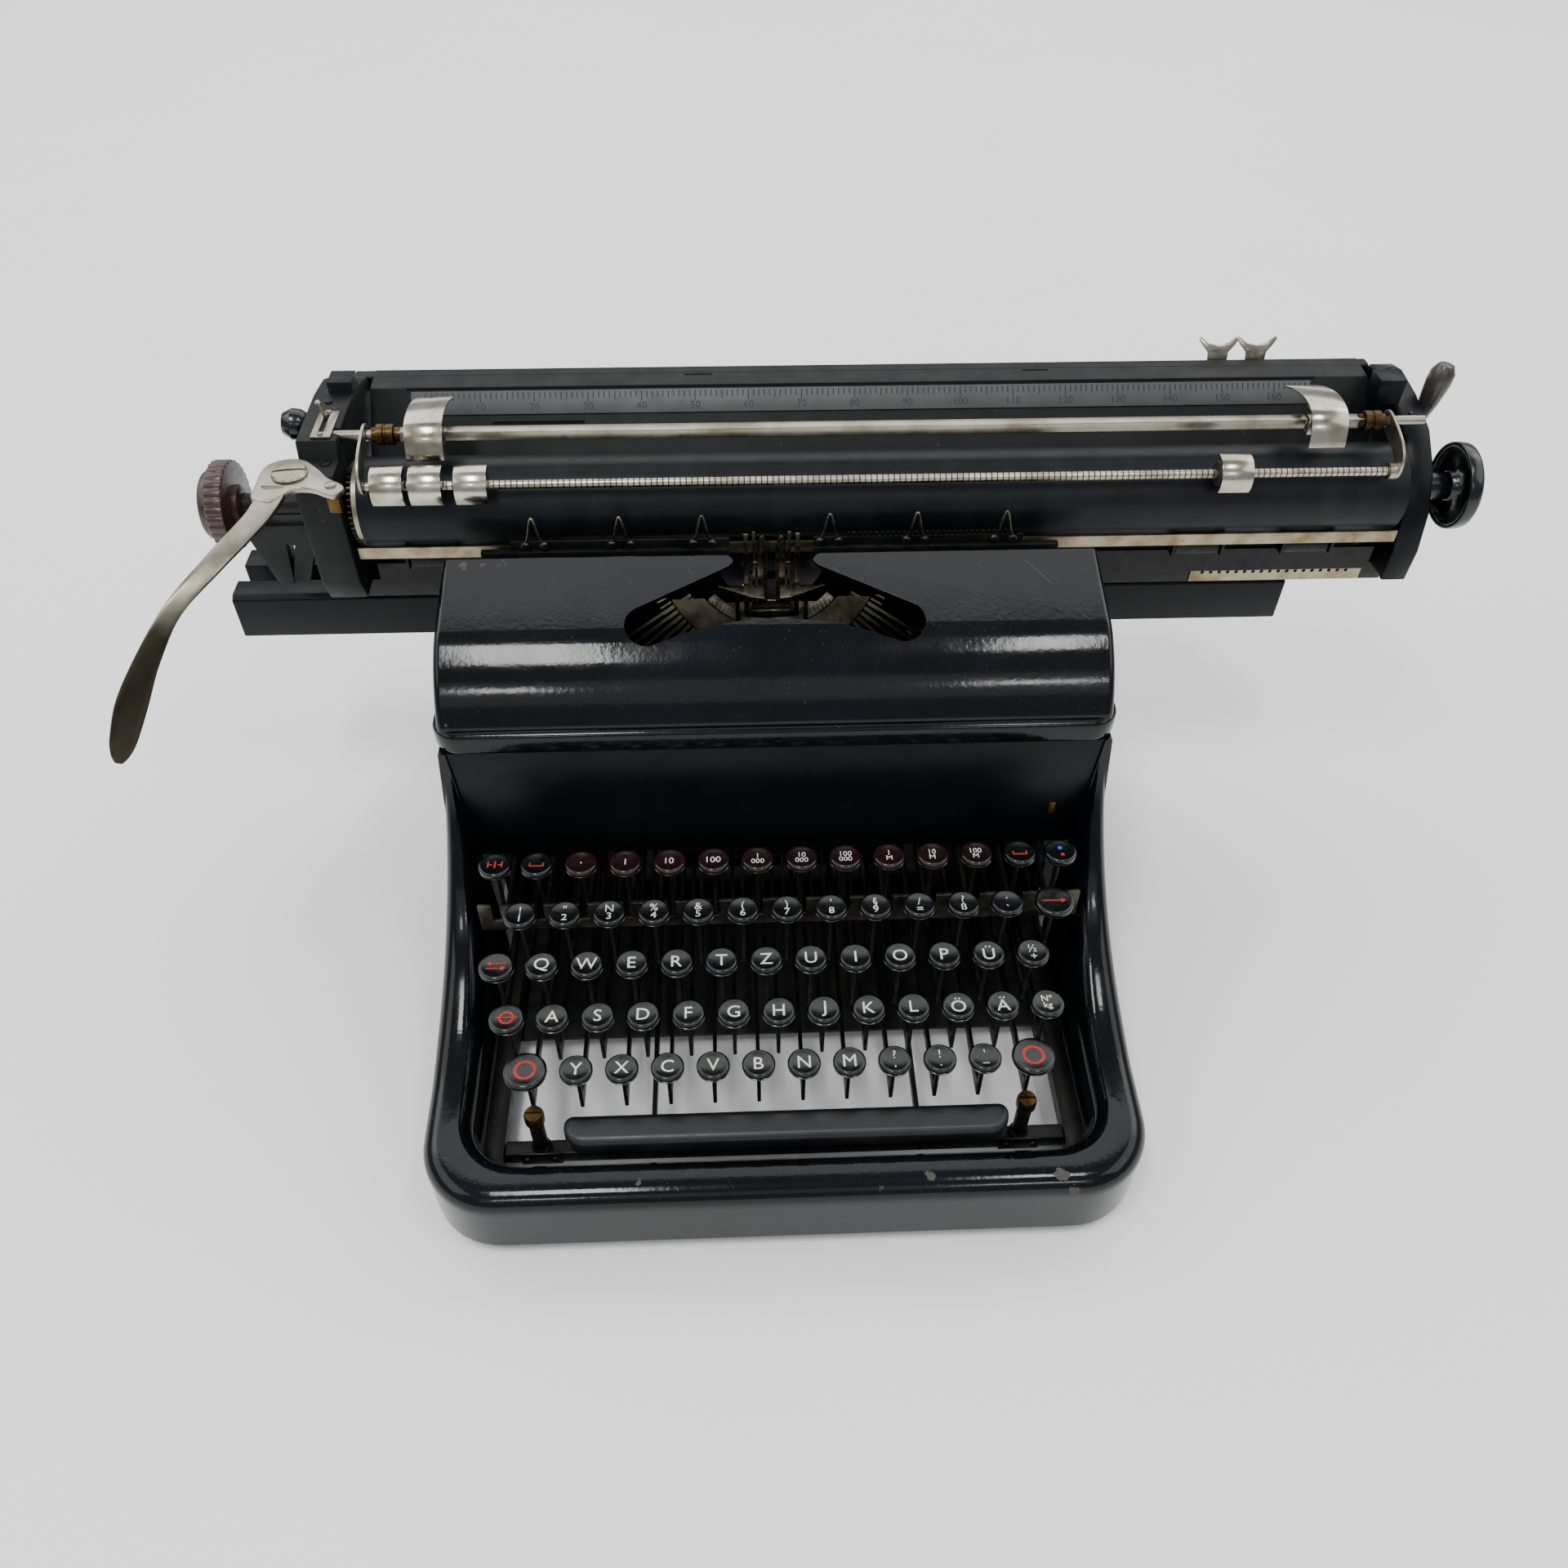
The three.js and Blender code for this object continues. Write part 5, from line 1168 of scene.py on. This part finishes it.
def makeFittings():
    plate = cut(soften(block(-200.4, -191.6, 262.4, 284.6, 236.2, 237.3), 0.25, 2),
                [block(-197.6, -195.2, 266.4, 281, 230, 240)])
    ends = [screwHead(-196.2, y, 237.2, 1.3, turn=t) for y, t in ((264.3, 0.5), (282.9, 1.3))]
    piece("selector_plate", joined([plate] + ends), "carriage", "nickel", nickelRubbed)
    wire = turned([(0, 0), (0.9, 0), (0.9, 7.6), (1.3, 8.2), (0.9, 9.0), (0, 9.2)], (-197, 279, 236.8),
                  (-0.15, -0.1, 1), 20)
    piece("selector_pin", wire, "spacing_selector", "nickel", nickelRubbed, ["line_space_selector"])
    darkScrews = [screwHead(-194.4, 255.6, 227.9, 2.5, turn=0.8), screwHead(-201, 318, 235.3, 2.2),
                  screwHead(-198.5, 293, 236.6, 1.8, turn=1.9),
                  screwHead(300, 318, 232.6, 2.2), screwHead(300, 285, 227.6, 1.8, turn=1.2)]
    piece("housing_screws", joined(darkScrews), "carriage", "black_steel", steelJapanned)
    rail = soften(block(206, 291, 261.5, 262, 151.4, 160.9), 0.15, 1)
    holes = [moved(turned([(0, 0), (0.95, 0), (0.95, 2), (0, 2)], (x, 260.6, 156.8), (0, 1, 0), 12),
                   Matrix()) for x in
             [212 + 4.2 * i for i in range(18)]]
    piece("rail_strip", cut(rail, [joined(holes)]), "carriage", "brass", brassPale, sharp=30)
    rolls, mounts = [], []
    for x in (-166, -118, 62, 190, 242):
        rolls.append(turned([(0, 0), (2.8, 0), (3.3, 0.5), (3.3, 20.5), (2.8, 21), (0, 21)],
                            (x, 251.6, 179.4), (1, 0, 0), 28))
        for end in (x - 1.8, x + 21.4):
            mounts.append(soften(block(end, end + 1.4, 247.4, 254, 176.6, 186), 0.3, 1))
        mounts.append(turned([(0, 0), (1.1, 0), (1.1, 25), (0, 25)], (x - 2.4, 251.6, 179.4), (1, 0, 0), 14))
    mounts += [soften(block(x0, x1, 252.6, 254.4, 164, 177), 0.3, 1) for x0, x1 in ((-183, -44), (44, 288))]
    piece("front_rollers", joined(rolls), "carriage", "rubber", rubberFoot)
    piece("front_roller_mounts", joined(mounts), "carriage", "black_steel", steelJapanned)


makeFittings()
print("carriage fittings made")


# ---- line scales, type guide and ribbon prongs ----

def makeScales():
    for node, x0, x1, post, fingers in (("line_scale_left", -117, -19, -130.5, (-106, -67.5, -31)),
                                        ("line_scale_right", 19, 114, 130.5, (26, 65, 105))):
        y = 238.4
        parts = [soften(block(x0, x1, y, y + 1.4, 190, 197.4), 0.3, 2),
                 soften(block(min(post, x0), max(post, x1), y - 2, y + 1.4, 189.3, 193), 0.4, 2)]
        if x0 > 0:
            count = int((x1 - 34) / characterPitch)
            parts += [block(34 + characterPitch * i, 35.3 + characterPitch * i, y + 0.2, y + 1.2, 197,
                            199.4) for i in range(count)]
        piece(node + "_rail", joined(parts), "machine", "black_steel", steelJapanned, [node])
        wires = []
        for x in fingers:
            bent = smoothPath([(x - 4.2, y - 0.6, 196.4), (x - 2.7, y - 0.5, 200),
                               (x - 0.9, y - 0.3, 208), (x, y - 0.2, 209.6),
                               (x + 0.9, y - 0.3, 208), (x + 2.7, y - 0.5, 200),
                               (x + 4.2, y - 0.6, 196.4)], 5)
            wires.append(rod(bent, 0.62, 10))
            for side in (-4.2, 4.2):
                wires.append(turned([(0, 0), (1.9, 0), (1.9, 1.0), (1.2, 1.5), (0, 1.5)],
                                    (x + side, y, 195.6), (0, -1, 0), 20))
        piece(node + "_fingers", joined(wires), "machine", "black_steel", steelBright)


def rod(path, radius, sides):  # a round wire along a path: one ring, extruded from point to point
    bm = bmesh.new()
    ring = bmesh.ops.create_circle(bm, cap_ends=True, radius=radius, segments=sides)["verts"]
    path = [Vector(p) for p in path]
    aim = Vector((0, 0, 1)).rotation_difference(path[1] - path[0]).to_matrix().to_4x4()
    bmesh.ops.transform(bm, matrix=Matrix.Translation(path[0]) @ aim, verts=ring)
    end = bm.faces[:]
    way = (path[1] - path[0]).normalized()
    for i in range(1, len(path)):
        grown = bmesh.ops.extrude_face_region(bm, geom=end)["geom"]
        end = [g for g in grown if isinstance(g, bmesh.types.BMFace)]
        verts = [g for g in grown if isVert(g)]
        nextWay = (path[min(i + 1, len(path) - 1)] - path[i - 1]).normalized()
        bend = way.rotation_difference(nextWay).to_matrix().to_4x4()
        bmesh.ops.transform(bm,
                            matrix=Matrix.Translation(path[i]) @ bend @ Matrix.Translation(-path[i - 1]),
                            verts=verts)
        way = nextWay
    bmesh.ops.recalc_face_normals(bm, faces=bm.faces)
    return bm


# Smooth pressed steel, browned by age and oil.
steelBrown = finish("steelBrowned", {
    "colour": "#3b362d", "worn": "#26221b", "rough": (0.26, 0.42), "blotch": 9, "metallic": 1.0,
    "grain": (2.0, 0.01), "dirt": ("#2a241c", 1.8, (0.66, 0.8))})
# Steel fingers and prongs, rubbed bright by the ribbon and the paper.
steelBright = finish("steelRubbed", {
    "colour": "#8a857a", "worn": "#5a544a", "rough": (0.24, 0.42), "blotch": 4, "metallic": 1.0,
    "grain": (0.5, 0.02), "dirt": ("#4b3a2a", 1.4, (0.66, 0.8))})


basket = {"radius": 45.0, "tilt": 40, "y": 232, "z": 146, "clear": 244.0}


def inBasket():  # the sloping plane that holds the type bars' pivots, its origin at the printing point
    tilt = math.radians(basket["tilt"])
    way = Vector((0, math.cos(tilt), math.sin(tilt))) * basket["radius"]
    return Matrix.Translation(Vector((0, basket["y"], basket["z"])) + way) @ Matrix.Rotation(tilt, 4, "X")


def sector(inner, outer, start, end, low, high, steps=40):  # part of a flat ring, degrees from straight down
    outline = arcPoints(0, 0, outer, start - 90, end - 90, steps) + arcPoints(0, 0, inner, end - 90,
        start - 90, steps)
    return moved(slab(outline, "z", low, high), inBasket())


def clearBack(bm):  # cuts off what stands in the carriage's way
    bmesh.ops.bisect_plane(bm, geom=bm.verts[:] + bm.edges[:] + bm.faces[:], plane_co=(0, basket["clear"], 0),
                           plane_no=(0, 1, 0), clear_outer=True)
    bmesh.ops.holes_fill(bm, edges=[e for e in bm.edges if e.is_boundary], sides=0)
    bmesh.ops.recalc_face_normals(bm, faces=bm.faces)
    return bm


def makeBasket():
    # Pressed rings round the segment, rubbed smooth, with the slotted ring between them.
    rings = [soften(sector(29.6, 36.3, -64, 64, -0.4, 0.9), 0.4, 2, 50)]
    for side in (-1, 1):
        start, end = sorted((side * 4, side * 62))
        rings.append(soften(sector(41.2, 54.6, start, end, 1.8, 2.7), 0.4, 2, 50))
    piece("basket_rings", clearBack(joined(rings)), "type_basket", "steel", steelBrown, sharp=50)
    comb = [sector(36.9, 40.7, a - 0.65, a + 0.65, 1.0, 2.0, 2) for a in range(-60, 61, 3) if abs(a) > 5]
    for side in (-1, 1):
        comb += [sector(55.2, 61, side * a - 0.45, side * a + 0.45, 1.8, 3.2, 2) for a in range(8, 66, 3)]
    piece("basket_comb", clearBack(joined(comb)), "type_basket", "steel", steelOiled)
    plate = soften(sector(17.5, 28.4, -76, 76, -0.6, 0.4), 0.3, 2, 50)
    piece("basket_plate", plate, "type_basket", "black_steel", steelJapanned, sharp=50)
    heads = [moved(screwHead(s * 12.5, -21.2, 0.4, 1.3, turn=s), inBasket()) for s in (-1, 1)]
    shelves = []  # a bright shelf on each side of the slot that the type comes through
    for s in (-1, 1):
        edge = [(3.5, 236.4), (3.5, 226.6), (8, 227.2), (14, 230), (20, 233.6), (25, 236.4)]
        shelves.append(soften(slab([(s * x, y) for x, y in edge], "z", 172, 172.8), 0.25, 2, 50))
        shelves.append(block(s * 16 - 1, s * 16 + 1, 235.4, 236.2, 152, 172.4))
    piece("basket_shelves", joined(shelves + heads), "type_basket", "steel", steelBright, sharp=50)


guideFront = 239  # the face of the type guide, towards the keys


def makePrinting():
    makeScales()
    makeBasket()
    y = guideFront
    vee = [(1.9, 160), (6.4, 160), (6.4, 194.5), (5.2, 197.6), (3.6, 198.2), (1.9, 192.6)]
    plates = [soften(slab([(s * a, b) for a, b in vee], "y", y, y + 1.6), 0.25, 2) for s in (-1, 1)]
    plates.append(soften(block(-9, 9, y, y + 1.6, 157, 162), 0.3, 1))
    for s in (-1, 1):
        plates.append(soften(block(s * 8.0 - 0.8, s * 8.0 + 0.8, y, y + 1.4, 160, 200), 0.3, 2))
        plates.append(screwHead(s * 7.6, y - 0.1, 183, 1.5, (0, -1, 0), 0.7 * s))
    piece("type_guide_plates", joined(plates), "type_basket", "steel", steelBright, ["type_guide"])
    prongs = [soften(block(-12.8, 12.8, y - 2, y - 0.6, 154, 157.5), 0.3, 1)]
    for s in (-1, 1):
        prongs.append(soften(block(s * 11.7 - 1.1, s * 11.7 + 1.1, y - 2, y - 0.7, 155, 200.4), 0.3, 2))
        prongs.append(soften(block(s * 11.7 - 1.1, s * 11.7 + 1.1, y - 2, y - 0.9, 186, 190), 0.4, 2))
    piece("ribbon_prongs", joined(prongs), "vibrator", "steel", steelBright, ["ribbon_vibrator"])


makePrinting()


# ---- stop posts on the crossbar ----

crossbar = {"front": 35.5, "back": 42.5, "low": 11.5, "high": 19, "posts": (-107, 103), "postY": 39}


def makeCrossbar():
    low, high = boxOf("front_crossbar")
    y = crossbar["postY"]
    bar = soften(block(low.x, high.x, crossbar["front"], crossbar["back"], crossbar["low"],
                       crossbar["high"]), 0.8, 3)
    parts, caps = [bar], []
    for x in crossbar["posts"]:
        parts.append(soften(block(x - 9, x + 9, 34.4, 35.7, 12.2, 21), 0.4, 2))
        parts.append(turned([(0, 18), (4.2, 18), (4.2, 21), (3.2, 22), (3.2, 38), (0, 38)], (x, y, 0),
                            (0, 0, 1), 36))
        parts += [screwHead(x + s * 6.2, 34.5, 16.4, 1.9, (0, -1, 0), 0.5 + s) for s in (-1, 1)]
        cap = turned([(0, 37), (2.6, 37.4), (2.5, 41.2), (3.9, 41.8), (4.3, 42.4), (4.3, 46.6),
                      (3.7, 48.0), (0, 48.4)], (x, y, 0), (0, 0, 1), 36)
        caps.append(cut(cap, [block(x - 6, x + 6, y - 0.55, y + 0.55, 46.9, 50)]))
    piece("crossbar_and_posts", joined(parts), "machine", "black_steel", steelJapanned, ["front_crossbar"])
    piece("post_caps", joined(caps), "machine", "brass", brassTarnished)


makeCrossbar()
print("fittings made")


# ---- every other CAD node: merged, edges softened, in its own finish ----

plainNodes = {
    "back_cover": (enamelPlain, 0.5), "base_frame": (steelJapanned, 0.4), "base_pan": (steelJapanned, 0.4),
    "foot_front_left": (rubberFoot, 0.4), "foot_front_right": (rubberFoot, 0.4),
    "foot_rear_left": (rubberFoot, 0.4), "foot_rear_right": (rubberFoot, 0.4),
    "key_comb": (steelOiled, 0.2),
    "carriage_rail_beam": (enamelPlain, 0.8), "bell": (nickelPlated, 0.3),
    "type_segment": (steelOiled, 0.3), "typebars": (steelOiled, 0.0),
    "striking_typebar": (steelOiled, 0.1),
    "ribbon_spool_left": (steelJapanned, 0.3), "ribbon_spool_right": (steelJapanned, 0.3),
    "mainspring_drum": (steelOiled, 0.3), "escapement_wheel": (brassTarnished, 0.1),
    "carriage_truck": (steelJapanned, 0.3), "carriage_plate_left": (paintMatte, 0.6),
    "carriage_plate_right": (enamelPlain, 0.6), "front_strip": (brassPale, 0.2),
    "feed_roller": (rubberFoot, 0.3),
    "carriage_release_lever": (keyMoulded, 0.4), "paper_release_lever": (bakeliteGrey, 0.4),
}
record = frame["record"]
slotOf = {part["node"]: part["material_slot"] for part in record["subparts"]}
bodyOf = {node: body for body, members in record["behaviour"]["bodies"].items() for node in members}

for node, (material, width) in plainNodes.items():
    copy = nodeCopy(node, width)
    piece(node + "_finished", copy, bodyOf[node], slotOf[node], material, [node], sharp=35)
print("other parts finished")
